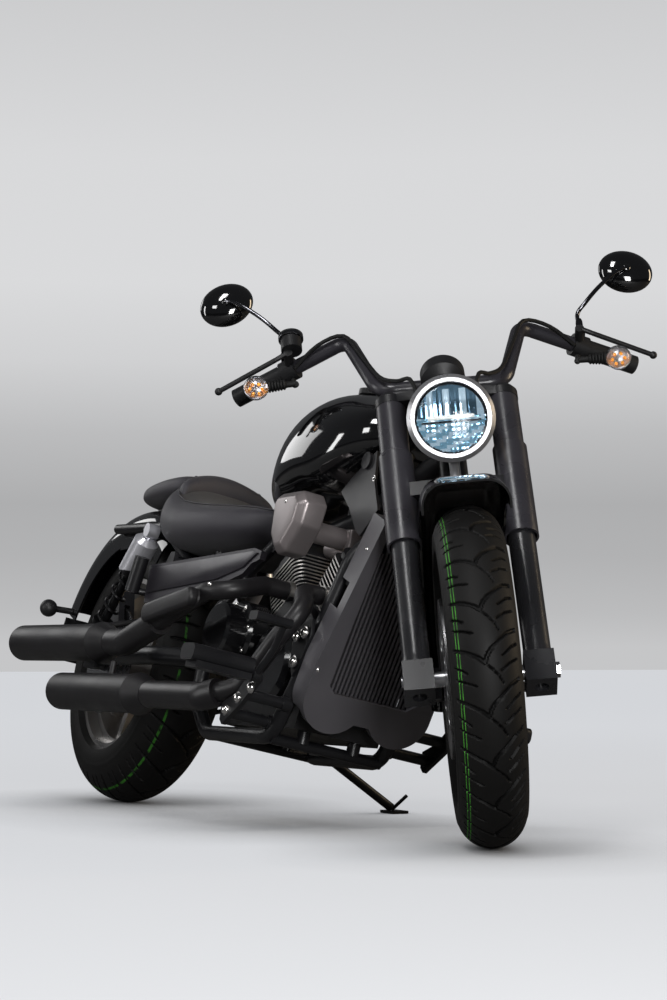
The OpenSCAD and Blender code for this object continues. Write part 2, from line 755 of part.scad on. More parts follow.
disc_y = -104;
module rear_caliper() {
  color("#3b3b3f") parked() difference() {
    union() {
      translate([40, disc_y + 18, rear_r + 44]) rotate([0, -24, 0]) translate([-30, -40, 0]) cube([60, 40, 122]);
      side_plate(-119.5, -112.5) {
        translate([0, rear_r]) circle(r = 30);
        polygon([[-22, rear_r + 16], [20, rear_r - 16], [76, rear_r + 70], [10, rear_r + 100]]);
      }
    }
    translate([0, disc_y + disc_t / 2 + 5, rear_r]) across() cylinder(h = disc_t + 10, r = rear_disc_r + 8);
    translate([0, -80, rear_r]) across() cylinder(h = 31, r = 52);
    translate([0, -100, rear_r]) across() cylinder(h = 40, d = 34.2);
  }
}

// Fork and what turns with it

module leg_pair() {
  for (v = [-1, 1]) translate([0, v * fork_w / 2, 0]) children();
}

module yoke_plate(low, high) {
  translate([0, 0, low]) linear_extrude(high - low) {
    polygon([[-offset_u - 32, -34], [-offset_u - 32, 34], [-24, fork_w / 2], [26, fork_w / 2], [30, 60],
      [30, -60], [26, -fork_w / 2], [-24, -fork_w / 2]]);
    translate([-offset_u, 0]) circle(r = 34);
  }
}

module triple_clamps() {
  color("#19191b") parked() on_fork() {
    difference() {
      union() {
        yoke_plate(412, 444);
        translate([-offset_u, 0, 400]) cylinder(h = 300, d = stem_d);
        translate([-offset_u, 0, 676]) cylinder(h = 34, d = 40);
      }
      leg_pair() translate([0, 0, 300]) cylinder(h = 240, d = cover_d);
    }
    yoke_plate(650, 674);
    leg_pair() {
      translate([0, 0, 650]) cylinder(h = 18, d = cover_top_d + 2);
      translate([0, 0, 668]) cylinder(h = 10, d1 = cover_top_d + 2, d2 = cover_top_d - 12);
    }
    for (v = [-46, 46]) hull() {
      translate([-offset_u - 12, v, 670]) cylinder(h = 4, d = 40, $fn = 32);
      translate([bar_low.x, v, bar_low.z - bar_d / 2 - 4 - clear]) cylinder(h = 4, d = 32, $fn = 32);
    }
  }
}

module fork_covers() {
  color("#1b1b1d") parked() on_fork() leg_pair() difference() {
    union() {
      translate([0, 0, cover_low]) cylinder(h = cover_step - cover_low, d = cover_d);
      translate([0, 0, cover_step]) cylinder(h = 4, d1 = cover_d, d2 = cover_top_d);
      translate([0, 0, cover_step]) cylinder(h = 650 - cover_step, d = cover_top_d);
    }
    translate([0, 0, cover_low - 1]) cylinder(h = 30, d = cover_d - 2 * cover_wall);
    translate([0, 0, cover_low - 1]) cylinder(h = 650 - cover_low + 2, d = 43);
  }
}

module fork_sliders() {
  color("#0d0d0f") parked() on_fork() leg_pair() difference() {
    union() {
      translate([0, 0, 20]) cylinder(h = cover_low + 8, d = slider_d);
      translate([0, 0, cover_low + 20]) cylinder(h = fork_h - cover_low - 46 - 0.5, d = 43 - 2 * clear);
      translate([-30, -29, -36]) cube([60, 58, 66]);
      translate([0, 0, 30]) cylinder(h = 20, d1 = 58, d2 = slider_d);
    }
    translate([0, 60, 0]) across() cylinder(h = 120, r = axle_r + fit_gap);
    translate([0, 0, -37]) cylinder(h = 12, d = 28);
    translate([-31, -31, -3]) cube([20, 62, 4]);
  }
}

module front_axle() {
  color("#b8bcc2") parked() on_fork() difference() {
    union() {
      translate([0, 146, 0]) across() cylinder(h = 292, r = axle_r);
      translate([0, 84.5, 0]) across() cylinder(h = 24, d = 30);
      translate([0, -60.2, 0]) across() cylinder(h = 24.3, d = 30);
      translate([0, 152, 0]) across() cylinder(h = 8, d = 30, $fn = 6);
    }
    translate([0, 160, 0]) across() cylinder(h = 320, r = axle_bore_r);
  }
}

module front_fender() {
  color("#0a0a0c") parked() on_fork() difference() {
    rotate([90, 0, 0]) rotate([0, 0, 40]) rotate_extrude(angle = 118, $fn = 96) guard_profile(front_guard_r, 84, 60);
    leg_pair() translate([0, 0, cover_low - 40]) cylinder(h = 160, d = cover_d + 0.2);
  }
}

light_pos = [100, 0, 540];
module light_frame() {
  translate(light_pos) rotate([0, rake, 0]) children();
}

module headlight_shell() {
  color("#c2c4c8") parked() on_fork() {
    light_frame() rotate([0, 90, 0]) {
      difference() {
        union() {
          translate([0, 0, -30]) cylinder(h = 22, r1 = light_r - 6, r2 = light_r);
          translate([0, 0, -8]) cylinder(h = 8, r1 = light_r, r2 = light_r - 8);
          translate([0, 0, -66]) cylinder(h = 36, r1 = 72, r2 = light_r - 6);
          translate([0, 0, -92]) cylinder(h = 26, r1 = 44, r2 = 72);
        }
        translate([0, 0, -24]) cylinder(h = 30, r = light_r - 16);
      }
    }
    translate([16, 0, 444]) cylinder(h = 70, d = 22);
  }
}

module headlight_lens() {
  color("#9fc4d8") parked() on_fork() light_frame() rotate([0, 90, 0])
    translate([0, 0, -24 + clear]) cylinder(h = 18, r = light_r - 16 - clear);
}

// Handlebar bends on the left: columns forward, left, up the fork
bar_low = [-96, 132, 778];
bar_up = [-189, 187, 1000];
grip_in = [-250, 300, 990];
bar_end = [-322, 440, 972];

function left_to_right(p) = [p.x, -p.y, p.z];

module handlebar() {
  color("#171719") parked() on_fork() difference() {
    bent_tube([left_to_right(bar_end), left_to_right(bar_up), left_to_right(bar_low), bar_low, bar_up, bar_end],
      bar_d, 45);
    mirrored() rod(bar_end + (bar_end - bar_up) * 0.05, bar_end - (bar_end - bar_up) * 0.12, 20);
  }
}

module hand_controls() {
  color("#202023") parked() on_fork() {
    along = unit(bar_end - bar_up);
    mirrored() {
      difference() {
        union() {
          rod(bar_end - along * 122, bar_end - along * 2, bar_d + 9);
          rod(bar_end - along * 158, bar_end - along * 124, bar_d + 18);
        }
        rod(bar_end - along * 170, bar_end + along * 10, bar_d + 2 * clear);
      }
      rod(bar_end - along * 140 + [26, 0, 0], bar_end - along * 140 + [60, 0, 2], 20);
      bent_tube([bar_end - along * 140 + [58, 4, 0], bar_end - along * 110 + [66, 0, -6],
        bar_end + [60, 34, -24]], 11, 30);
      translate(bar_end + [60, 34, -24]) sphere(d = 17);
    }
    translate(left_to_right(bar_end - along * 150) + [50, 0, 9]) {
      cylinder(h = 30, d = 46);
      translate([0, 0, 30]) cylinder(h = 12, d = 54);
    }
  }
}

module mirror_side() {
  foot = [-250, 324, 1010.2];
  bent_tube([foot + [0, 0, 10], foot + [0, 0, 60], [-240, 342, 1092], [-254, 428, 1180]], 10, 24);
  translate(foot) cylinder(h = 44, d = 16);
  translate([-258, 446, 1192]) rotate([0, 110, 0]) rotate([0, 0, -20]) {
    loft([for (r = [[-8, 1], [0, 1], [8, 0.93], [15, 0.75], [19, 0.45]])
      [for (k = [0:31]) [49 * r[1] * cos(k * 11.25), 61 * r[1] * sin(k * 11.25), r[0]]]]);
  }
}

module mirrors() {
  color("#0c0c0e") parked() on_fork() mirrored() mirror_side();
}

module front_signals() {
  color("#d8d8dc") parked() on_fork() mirrored() {
    translate([-205, 390, 903]) sphere(d = 56);
    rod([-205, 370, 905], [-208, 306, 909], 20);
    rod([-208, 312, 909], [-210, 296, 912], 34);
    rod([-210, 298, 912], [-254, 309, 940], 12);
    translate([-256, 310, 936]) cylinder(h = 24, d = 12);
  }
}

module gauge() {
  color("#121214") parked() on_fork() {
    translate([-24, 0, 732]) rotate([0, -18, 0]) {
      difference() {
        cylinder(h = 30, d = 92);
        translate([0, 0, 24]) cylinder(h = 8, d = 82);
      }
      translate([0, 0, -14]) cylinder(h = 14, d1 = 56, d2 = 92);
    }
    translate([-6, 0, 674]) cylinder(h = 52, d = 16);
  }
}

module front_caliper() {
  color("#2c2c30") parked() on_fork() {
    difference() {
      rotate([0, -62, 0]) translate([-30, -98, 92]) cube([60, 68, 80]);
      translate([0, disc_t / 2 + 5 - 62, 0]) across() cylinder(h = disc_t + 10, r = front_disc_r + 8);
    }
    side_plate(-98, -87.6) polygon([[-21.3, 40], [-21.3, 120], [-80, 112], [-110, 60], [-60, 34]]);
  }
}

cable_run = [[-233.9, 304.6, 971.9], [-193, 252, 996], [-160, 194, 990], [-121, 161, 900], [-76, 128, 800],
  [-20, 96, 740], [32, 70, 700], [44, 57, 640], [43, 54, 628]];

module control_cables() {
  color("#0b0b0c") parked() on_fork() mirrored() sweep(smooth(cable_run, 4), 9, 8);
}

// Wheels: a profile of radius and offset, turned about the axle

module tyre_profile(r, w, rim_r, rim_half) {
  crown = w / 2;
  difference() {
    intersection() {
      translate([r - crown, 0]) circle(r = crown);
      translate([rim_r + clear, -w]) square([r, 2 * w]);
    }
    translate([r - crown, 0]) circle(r = crown - 13);
  }
  for (side = [-1, 1]) scale([1, side]) polygon([
    [rim_r - 11, rim_half - 20], [rim_r - 11, rim_half - 8 - clear], [rim_r + clear, rim_half - 8 - clear],
    [rim_r + clear, rim_half + 6], [rim_r + 14, rim_half + 6], [rim_r + 10, rim_half - 20]]);
}

module rim_profile(rim_r, rim_half) {
  for (v = [-1, 1]) translate([rim_r - 18, v * (rim_half - 4) - 4]) square([18, 8]);
  translate([rim_r - 18, -rim_half]) square([6.5, 2 * rim_half]);
  translate([rim_r - 34, -rim_half * 0.6]) square([22, rim_half * 1.2]);
}

spoke_count = 5;
module cast_wheel(rim_r, rim_half, hub_r, hub_low, hub_high) {
  across() difference() {
    union() {
      rotate_extrude($fn = 96) rim_profile(rim_r, rim_half);
      translate([0, 0, -hub_high]) cylinder(h = hub_high - hub_low, r = hub_r);
      for (k = [0:spoke_count - 1]) rotate([0, 0, 360 * k / spoke_count + 90]) for (a = [-13, 13])
        translate([0, 0, -15]) linear_extrude(30)
          polygon([[hub_r * 0.5, -13], [hub_r * 0.5, 13], [rim_r - 30, 10 + a * rim_r / 52], [rim_r - 30, -10 + a * rim_r / 52]]);
    }
    cylinder(h = 400, r = axle_r + fit_gap, center = true);
  }
}

front_rim_half = 52;
rear_rim_half = 72;
module front_tyre() {
  color("#161616") parked() on_fork() across() rotate_extrude($fn = 120)
    tyre_profile(front_r, front_w, front_rim_r, front_rim_half);
}

module front_rim() {
  color("#1a1a1c") parked() on_fork() cast_wheel(front_rim_r, front_rim_half, 40, -59.5, 60);
}

module front_disc() {
  color("#9a9da2") parked() on_fork() translate([0, -59.5, 0]) across() difference() {
    cylinder(h = disc_t, r = front_disc_r);
    translate([0, 0, -1]) cylinder(h = disc_t + 2, r = axle_r + 12);
    for (k = [0:7]) rotate([0, 0, 45 * k]) translate([80, 0, -1]) cylinder(h = disc_t + 2, r = 22);
  }
}

module rear_tyre() {
  color("#161616") parked() translate([0, 0, rear_r]) across() rotate_extrude($fn = 120)
    tyre_profile(rear_r, rear_w, rear_rim_r, rear_rim_half);
}

module rear_rim() {
  color("#7d7f83") parked() translate([0, 0, rear_r]) {
    cast_wheel(rear_rim_r, rear_rim_half, 48, -101.5, 118.5);
    translate([0, belt_y + belt_w / 2, 0]) across() difference() {
      cylinder(h = belt_w, r = rear_pulley_r);
      translate([0, 0, -1]) cylinder(h = belt_w + 2, r = 40);
    }
  }
}

module rear_disc() {
  color("#9a9da2") parked() translate([0, -101.5, rear_r]) across() difference() {
    cylinder(h = disc_t, r = rear_disc_r);
    translate([0, 0, -1]) cylinder(h = disc_t + 2, r = axle_r + 12);
    for (k = [0:7]) rotate([0, 0, 45 * k]) translate([74, 0, -1]) cylinder(h = disc_t + 2, r = 18);
  }
}

// Stand: its foot lies flat on the floor
module side_stand() {
  color("#1d1d1f") difference() {
    union() {
      translate(stand_hinge - stand_axis * 10) aim(stand_axis) cylinder(h = 20, d = 38);
      rod(stand_hinge, stand_foot + [0, -6, 12], 20);
      translate(stand_foot + [-30, -18, 0]) cube([60, 40, 6]);
      rod(stand_foot + [0, -4, 8], stand_foot + [26, 20, 40], 8);
    }
    translate(stand_hinge - stand_axis * 12) aim(stand_axis) cylinder(h = 24, d = pin_d + 2 * clear);
  }
}

frame();
swingarm();
rear_shocks();
crankcase();
engine_covers();
front_cylinder();
rear_cylinder();
air_cleaners();
tank();
tank_console();
neck_covers();
radiator();
radiator_shroud();
oil_filter();
side_covers();
seat();
pillion_seat();
rear_fender();
rear_lamps();
exhaust_upper();
exhaust_lower();
heat_shields();
foot_controls();
passenger_pegs();
drive_belt();
rear_caliper();
triple_clamps();
fork_covers();
fork_sliders();
front_axle();
front_fender();
headlight_shell();
headlight_lens();
handlebar();
hand_controls();
mirrors();
front_signals();
gauge();
front_caliper();
control_cables();
front_tyre();
front_rim();
front_disc();
rear_tyre();
rear_rim();
rear_disc();
side_stand();
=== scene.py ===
# %% [markdown]
# # A black cruiser on its side stand
# The imported CAD model is the frame of this scene. Every solid in it is already in its real place, in metres.
# This lesson gives each solid its finish, and adds what a CAD solid doesn't carry well: tyre tread, padded
# leather, soft-edged covers, lamp optics, bolts and trim.

# %% Load the frame
import json
import math

import bmesh
import bpy
import numpy as np
from mathutils import Matrix, Vector


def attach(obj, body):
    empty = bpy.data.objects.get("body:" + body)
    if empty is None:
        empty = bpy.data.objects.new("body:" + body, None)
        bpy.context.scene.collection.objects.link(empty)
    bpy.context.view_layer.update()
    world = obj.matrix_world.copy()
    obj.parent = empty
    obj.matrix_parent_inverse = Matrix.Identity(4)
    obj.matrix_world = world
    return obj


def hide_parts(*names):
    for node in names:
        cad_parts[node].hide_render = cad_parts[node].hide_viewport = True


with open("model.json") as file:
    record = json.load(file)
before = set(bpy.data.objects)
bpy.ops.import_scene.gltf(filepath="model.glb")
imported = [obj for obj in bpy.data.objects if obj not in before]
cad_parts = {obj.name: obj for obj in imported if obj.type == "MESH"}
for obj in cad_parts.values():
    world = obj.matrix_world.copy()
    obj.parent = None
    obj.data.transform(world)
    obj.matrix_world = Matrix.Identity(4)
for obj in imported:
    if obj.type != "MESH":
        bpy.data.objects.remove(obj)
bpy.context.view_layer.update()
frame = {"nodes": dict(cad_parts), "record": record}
nodes = frame["nodes"]
joints = {j["name"]: j for j in frame["record"]["behaviour"]["joints"]}

# %% [markdown]
# Three places are used to model in plain millimetres. The bike's own place is upright and straight, with the
# rear tyre's ground point at its origin. The fork's place starts at the front axle and looks along the fork.
# The third is the rear hub. All follow from the joints of the record: the wheel axles and the steering axis.

# %% Places: bike and fork
REAR_R, FRONT_R = 325.0, 321.0
RAKE = math.radians(31)


def place(x, y, z, origin):
    """A matrix from millimetres in a slanted place to metres in the row frame"""
    m = Matrix((x, y, z)).transposed().to_4x4()
    return Matrix.Translation(origin) @ m @ Matrix.Scale(0.001, 4)


left = Vector(joints["rear_wheel_spin"]["axis"]).normalized()
pitch = math.atan2(-left.x, -left.z)
ahead = Vector((math.cos(pitch), 0, -math.sin(pitch)))
up = ahead.cross(left)
rear_axle = Vector(joints["rear_wheel_spin"]["pos_m"])
BIKE = place(ahead, left, up, rear_axle - up * REAR_R / 1000)

fork_up = Vector(joints["steering"]["axis"]).normalized()
fork_left = Vector(joints["front_wheel_spin"]["axis"]).normalized()
FORK = place(fork_left.cross(fork_up), fork_left, fork_up, Vector(joints["front_wheel_spin"]["pos_m"]))
REAR_HUB = BIKE @ Matrix.Translation((0, 0, REAR_R))
print("bike origin", [round(v, 4) for v in BIKE.translation])

# %% [markdown]
# A small kit of habits. Operators act on whatever is selected, so everything is deselected before each step.
# A piece is shaped around its own place, and then its matrix is applied, so that the finished object sits at
# the origin with its place in its mesh, like a CAD node.

# %% Habits for modelling with operators
def deselect():
    bpy.ops.object.select_all(action="DESELECT")


def pick(obj):
    deselect()
    obj.select_set(True)
    bpy.context.view_layer.objects.active = obj


def start(kind, **sizes):
    """Adds a primitive with nothing else selected"""
    deselect()
    getattr(bpy.ops.mesh, "primitive_" + kind + "_add")(**sizes)
    return bpy.context.object


def edit(obj, mode="FACE"):
    """Opens a piece in edit mode with nothing selected"""
    pick(obj)
    bpy.ops.object.mode_set(mode="EDIT")
    bpy.ops.mesh.select_mode(type=mode)
    bpy.ops.mesh.select_all(action="DESELECT")


def select_where(obj, rule):
    """Selects faces by a rule on their centre and normal"""
    bm = bmesh.from_edit_mesh(obj.data)
    for f in bm.faces:
        f.select = bool(rule(f.calc_center_median(), f.normal))
    bm.select_flush_mode()
    bmesh.update_edit_mesh(obj.data)


def close_edit():
    bpy.ops.object.mode_set(mode="OBJECT")


def apply_modifier(obj, kind, **values):
    pick(obj)
    mod = obj.modifiers.new(kind.lower(), kind)
    for key, value in values.items():
        setattr(mod, key, value)
    bpy.ops.object.modifier_apply(modifier=mod.name)


def tidy_mesh(obj, merge=0.01):
    """Merges doubles, unless merge is 0, and turns faces outwards"""
    edit(obj, "VERT")
    bpy.ops.mesh.select_all(action="SELECT")
    if merge:
        bpy.ops.mesh.remove_doubles(threshold=merge)
    bpy.ops.mesh.normals_make_consistent(inside=False)
    close_edit()


def linked(name, data):
    """A new object that shows the given mesh or curve"""
    obj = bpy.data.objects.new(name, data)
    bpy.context.collection.objects.link(obj)
    return obj


def new_mesh(name, points, edges, faces):
    mesh = bpy.data.meshes.new(name)
    mesh.from_pydata(points, edges, faces)
    return linked(name, mesh)


def set_place(obj):
    """Moves an object's place into its mesh"""
    obj.data.transform(obj.matrix_world)
    obj.matrix_world = Matrix.Identity(4)


def rounded_block(location, scale, width, segments):
    """A block at its size and place, with its edges rounded"""
    obj = start("cube", size=1, location=location, scale=scale)
    apply_modifier(obj, "BEVEL", width=width, segments=segments)
    return obj


def seat_piece(obj, name, body, where, material, angle=35):
    """Applies the place, names the piece, and lets it ride with its body"""
    obj.matrix_world = where @ obj.matrix_world
    set_place(obj)
    obj.name = name
    pick(obj)
    bpy.ops.object.shade_smooth_by_angle(angle=math.radians(angle))
    if material is not None:
        obj.data.materials.clear()
        obj.data.materials.append(material)
    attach(obj, body)
    print(name, len(obj.data.polygons), "faces on", body)
    return obj


def join(objs):
    deselect()
    for o in objs:
        o.select_set(True)
    bpy.context.view_layer.objects.active = objs[0]
    bpy.ops.object.join()
    return bpy.context.object


def copy_at(obj, matrix):
    """A copy with its own mesh, moved by a matrix"""
    twin = obj.copy()
    twin.data = obj.data.copy()
    bpy.context.collection.objects.link(twin)
    twin.matrix_world = matrix @ obj.matrix_world
    return twin


print("helpers for operators are ready")

# %% [markdown]
# Many pieces are turned on a lathe: a half profile is drawn in the plane of X and Z, and the spin operator
# sweeps it once about the Z axis. Others are tubes, drawn as a curve with a round bevel.

# %% Lathe and tube
def turned(profile, steps=48):
    """Spins a profile of (radius, height) points about Z"""
    points = [(r, 0.0, z) for r, z in profile]
    obj = new_mesh("profile", points, [(i, i + 1) for i in range(len(points) - 1)], [])
    edit(obj, "VERT")
    bpy.ops.mesh.select_all(action="SELECT")
    bpy.ops.mesh.spin(steps=steps, angle=2 * math.pi, center=(0, 0, 0), axis=(0, 0, 1))
    close_edit()
    tidy_mesh(obj)
    return obj


def tube(points, radius):
    """A round tube on a smooth curve through points, as a mesh"""
    curve = bpy.data.curves.new("tube", "CURVE")
    curve.dimensions = "3D"
    spline = curve.splines.new("BEZIER")
    spline.bezier_points.add(len(points) - 1)
    for b, p in zip(spline.bezier_points, points):
        b.co = p
        b.handle_left_type = b.handle_right_type = "AUTO"
    curve.resolution_u = 8
    curve.bevel_depth = radius
    curve.bevel_resolution = 4
    curve.use_fill_caps = True
    pick(linked("tube", curve))
    bpy.ops.object.convert(target="MESH")
    return bpy.context.object


def along(axis, origin=(0, 0, 0)):
    """Turns +Z of a lathe piece onto an axis at an origin"""
    return Matrix.Translation(origin) @ Vector(axis).to_track_quat("Z", "Y").to_matrix().to_4x4()


print("lathe and tube are ready")

# %% [markdown]
# Materials are graphs of nodes. These helpers add a node with its values, do a sum on sockets or numbers,
# turn one range of values into another, and mix two colours. They serve the world and the materials alike.

# %% Habits for nodes
def wire(owner, kind, **values):
    """Adds a node; a value belongs to a setting, or else to the input of that name"""
    node = owner.node_tree.nodes.new(kind)
    for key, value in values.items():
        if hasattr(node, key):
            setattr(node, key, value)
        else:
            node.inputs[key.replace("_", " ")].default_value = value
    return node


def link(owner, source, target):
    owner.node_tree.links.new(source, target)


def shader_of(mat):
    return mat.node_tree.nodes["Principled BSDF"]


def feed(owner, value, target):
    """Links a socket, or writes a plain number"""
    if hasattr(value, "is_linked"):
        link(owner, value, target)
    else:
        target.default_value = value


def math_op(owner, operation, a, b=0.0):
    node = wire(owner, "ShaderNodeMath", operation=operation)
    feed(owner, a, node.inputs[0])
    feed(owner, b, node.inputs[1])
    return node.outputs[0]


def ramp_between(owner, source, low, high, start_at=0.3, end_at=0.7):
    node = wire(owner, "ShaderNodeMapRange", From_Min=start_at, From_Max=end_at, To_Min=low, To_Max=high)
    link(owner, source, node.inputs["Value"])
    return node.outputs["Result"]


def mixed_colour(owner, factor, a, b):
    """Colour a where the factor is 0, and b where it is 1"""
    node = wire(owner, "ShaderNodeMix", data_type="RGBA")
    link(owner, factor, node.inputs[0])
    for socket, value in ((node.inputs[6], a), (node.inputs[7], b)):
        feed(owner, value if hasattr(value, "is_linked") else (*value, 1), socket)
    return node.outputs[2]


def mixed_shader(owner, factor, a, b, target):
    node = wire(owner, "ShaderNodeMixShader")
    for source, socket in ((factor, node.inputs["Fac"]), (a, node.inputs[1]), (b, node.inputs[2]),
                           (node.outputs[0], target)):
        link(owner, source, socket)


def object_coords(owner):
    return wire(owner, "ShaderNodeTexCoord").outputs["Object"]


print("node helpers are ready")

# %% [markdown]
# The camera stands low in front of the bike's right side, as in the photograph, with a long lens. Its place
# and aim were solved from the wheels, mirrors and axle ends, so it is given in plain numbers.

# %% Camera
eye = Vector((5.7491, -2.4271, 0.3757)) + Vector((BIKE.translation.x, BIKE.translation.y, 0))
yaw, tilt, roll = math.radians(152.4047), math.radians(3.2573), math.radians(0.1094)
look = Vector((math.cos(yaw) * math.cos(tilt), math.sin(yaw) * math.cos(tilt), math.sin(tilt)))
cam_data = bpy.data.cameras.new("camera")
cam_data.lens = 92.48
cam_data.sensor_width = 36
camera = bpy.data.objects.new("camera", cam_data)
bpy.context.scene.collection.objects.link(camera)
camera.matrix_world = Matrix.Translation(eye) @ (
    look.to_track_quat("-Z", "Y").to_matrix().to_4x4() @ Matrix.Rotation(roll, 4, "Z"))
bpy.context.scene.camera = camera
bpy.context.scene.view_settings.view_transform = "Standard"
print("camera at", [round(v, 3) for v in eye])

# %% [markdown]
# The floor is a flat pale sheet, and the backdrop is the world's own colour in a soft upright gradient. Both
# could be lit until they look pale, but that would wash out the black paint. So the sheet glows for the
# camera only, takes part of its shade from real light, which keeps the bike's shadow, and throws little back.
# The glow rises with the distance from a fixed point of the floor, which is the one below the photograph's
# viewpoint. No node reads the camera, so the glow stays put when the view turns.

# %% Floor and backdrop
NEAR_EDGE, FAR_EDGE, FAR_GLOW = 5.0, 13.0, 1.19
# reach and depth of the painted contact shadow near the tyres and the stand
PAINTED_SHADOW_REACH, PAINTED_SHADOW_DEPTH = 0.4, 1.5


def stage_material(name, seen, lit, dim, share):
    """A sheet that glows evenly to the camera, takes soft shadows, has painted contact shadows, and throws
    little light upwards
    """
    mat = bpy.data.materials.new(name)
    mat.use_nodes = True
    bsdf = shader_of(mat)
    bsdf.inputs["Roughness"].default_value = 0.9
    bsdf.inputs["Specular IOR Level"].default_value = 0.1
    to_camera = wire(mat, "ShaderNodeLightPath").outputs["Is Camera Ray"]
    link(mat, mixed_colour(mat, to_camera, (dim, dim, dim), (lit, lit, lit)), bsdf.inputs["Base Color"])
    # away from the lamps the sheet glows more, so that it stays even up to the backdrop
    away = wire(mat, "ShaderNodeVectorMath", operation="DISTANCE")
    away.inputs[1].default_value = (eye.x, eye.y, 0)
    link(mat, object_coords(mat), away.inputs[0])
    lift = wire(mat, "ShaderNodeMapRange", interpolation_type="SMOOTHSTEP", From_Min=NEAR_EDGE,
                From_Max=FAR_EDGE, To_Min=1.0, To_Max=FAR_GLOW)
    link(mat, away.outputs["Value"], lift.inputs["Value"])
    # and it darkens close to the tyres and the stand: a painted contact shadow, from ambient occlusion
    near = wire(mat, "ShaderNodeAmbientOcclusion", samples=8, Distance=PAINTED_SHADOW_REACH)
    strength = math_op(mat, "MULTIPLY", lift.outputs["Result"],
                       math_op(mat, "POWER", near.outputs["AO"], PAINTED_SHADOW_DEPTH))
    glow = wire(mat, "ShaderNodeEmission", Color=(*seen, 1))
    link(mat, strength, glow.inputs["Strength"])
    mixed_shader(mat, math_op(mat, "MULTIPLY", to_camera, share), bsdf.outputs[0], glow.outputs[0],
                 mat.node_tree.nodes["Material Output"].inputs["Surface"])
    return mat


floor = start("plane", size=60, location=(0, 0, -0.0006))
floor.name = "floor"
floor.data.materials.append(stage_material("studio_floor", (0.89, 0.91, 0.95), 0.5, 0.16, 0.6))

world = bpy.data.worlds.new("studio")
bpy.context.scene.world = world
world.use_nodes = True
back = world.node_tree.nodes["Background"]
back.inputs["Color"].default_value = (0.9, 0.92, 0.96, 1)
back.inputs["Strength"].default_value = 0.07
parts = wire(world, "ShaderNodeSeparateXYZ")
link(world, wire(world, "ShaderNodeTexCoord").outputs["Generated"], parts.inputs[0])
shades = wire(world, "ShaderNodeValToRGB")
# columns: share of the backdrop's height, brightness
BACKDROP = [(0.0, 0.56), (0.05, 0.5), (0.14, 0.44), (0.22, 0.42), (0.33, 0.5), (0.44, 0.63), (0.56, 0.7),
            (0.75, 0.69), (1.0, 0.6)]
for i, (at, grey) in enumerate(BACKDROP):
    stop = shades.color_ramp.elements[i] if i < 2 else shades.color_ramp.elements.new(at)
    stop.position = at
    stop.color = (grey, grey * 1.005, grey * 1.02, 1)
link(world, ramp_between(world, parts.outputs["Z"], 0.0, 1.0, 0.0, 0.25), shades.inputs["Fac"])
seen = wire(world, "ShaderNodeBackground")
link(world, shades.outputs["Color"], seen.inputs["Color"])
mixed_shader(world, wire(world, "ShaderNodeLightPath").outputs["Is Camera Ray"], back.outputs[0],
             seen.outputs[0], world.node_tree.nodes["World Output"].inputs["Surface"])
print("floor and backdrop,", len(BACKDROP), "shades")

# %% [markdown]
# Gloss black shows only what it mirrors, so the lamps are large soft boxes. Each one draws a long highlight:
# two from the bike's right, one from above, one along the front wheel, a warm one from the left, one behind.

# %% Soft boxes
def soft_box(name, place_at, aim_at, width, height, watts, colour=(1, 1, 1)):
    data = bpy.data.lights.new(name, "AREA")
    data.shape = "RECTANGLE"
    data.size, data.size_y = width, height
    data.energy = watts
    data.color = colour
    obj = bpy.data.objects.new(name, data)
    bpy.context.scene.collection.objects.link(obj)
    obj.location = place_at
    obj.rotation_euler = (Vector(aim_at) - Vector(place_at)).to_track_quat("-Z", "Y").to_euler()
    print("soft box", name, watts, "W")


soft_box("key", (2.4, -4.4, 3.0), (0, 0, 0.5), 1.1, 0.8, 30)
soft_box("strip", (-1.2, -4.4, 1.5), (0.5, 0, 0.6), 0.6, 2.6, 45)
soft_box("top", (2.1, -2.5, 4.6), (0.6, -0.1, 0.5), 0.8, 1.5, 100)
soft_box("front", (5.0, -1.6, 1.1), (0.3, 0, 0.5), 1.0, 1.5, 140)
soft_box("side", (1.8, 4.4, 1.8), (0, 0, 0.6), 0.8, 2.8, 70, (1.0, 0.8, 0.55))
soft_box("rear", (-4.2, -1.6, 2.4), (0, 0, 0.5), 2.4, 1.6, 25)

# %% [markdown]
# ## Finishes
# Nearly everything here is black, so the finishes have to tell the pieces apart: deep gloss on the tank and
# front guard, satin powder coat on the frame, matte heat-proof paint on the exhausts, dull rubber, machined
# edges on the fins. Each finish is built from noise in Object coordinates. One fine noise makes the grain
# and feeds the bump, a broad one makes the roughness and colour drift a little, as real paint does.

# %% A painted or moulded finish
def new_material(name, colour, rough, metal=0.0, coat=0.0, shine=0.5, clear=0.0):
    mat = bpy.data.materials.new(name)
    mat.use_nodes = True
    bsdf = shader_of(mat)
    for key, value in (("Base Color", (*colour, 1)), ("Roughness", rough), ("Metallic", metal),
                       ("Coat Weight", coat), ("Specular IOR Level", shine), ("Coat Roughness", 0.06)):
        bsdf.inputs[key].default_value = value
    if clear:
        bsdf.inputs["Transmission Weight"].default_value = clear
        bsdf.inputs["IOR"].default_value = 1.2
    return mat


def shining(mat, colour, strength):
    """Lets a finish give off a little light of its own"""
    bsdf = shader_of(mat)
    bsdf.inputs["Emission Color"].default_value = (*colour, 1)
    bsdf.inputs["Emission Strength"].default_value = strength
    return mat


def base_source(mat):
    """The socket that feeds the base colour"""
    return shader_of(mat).inputs["Base Color"].links[0].from_socket


def recolour(mat, source):
    link(mat, source, shader_of(mat).inputs["Base Color"])


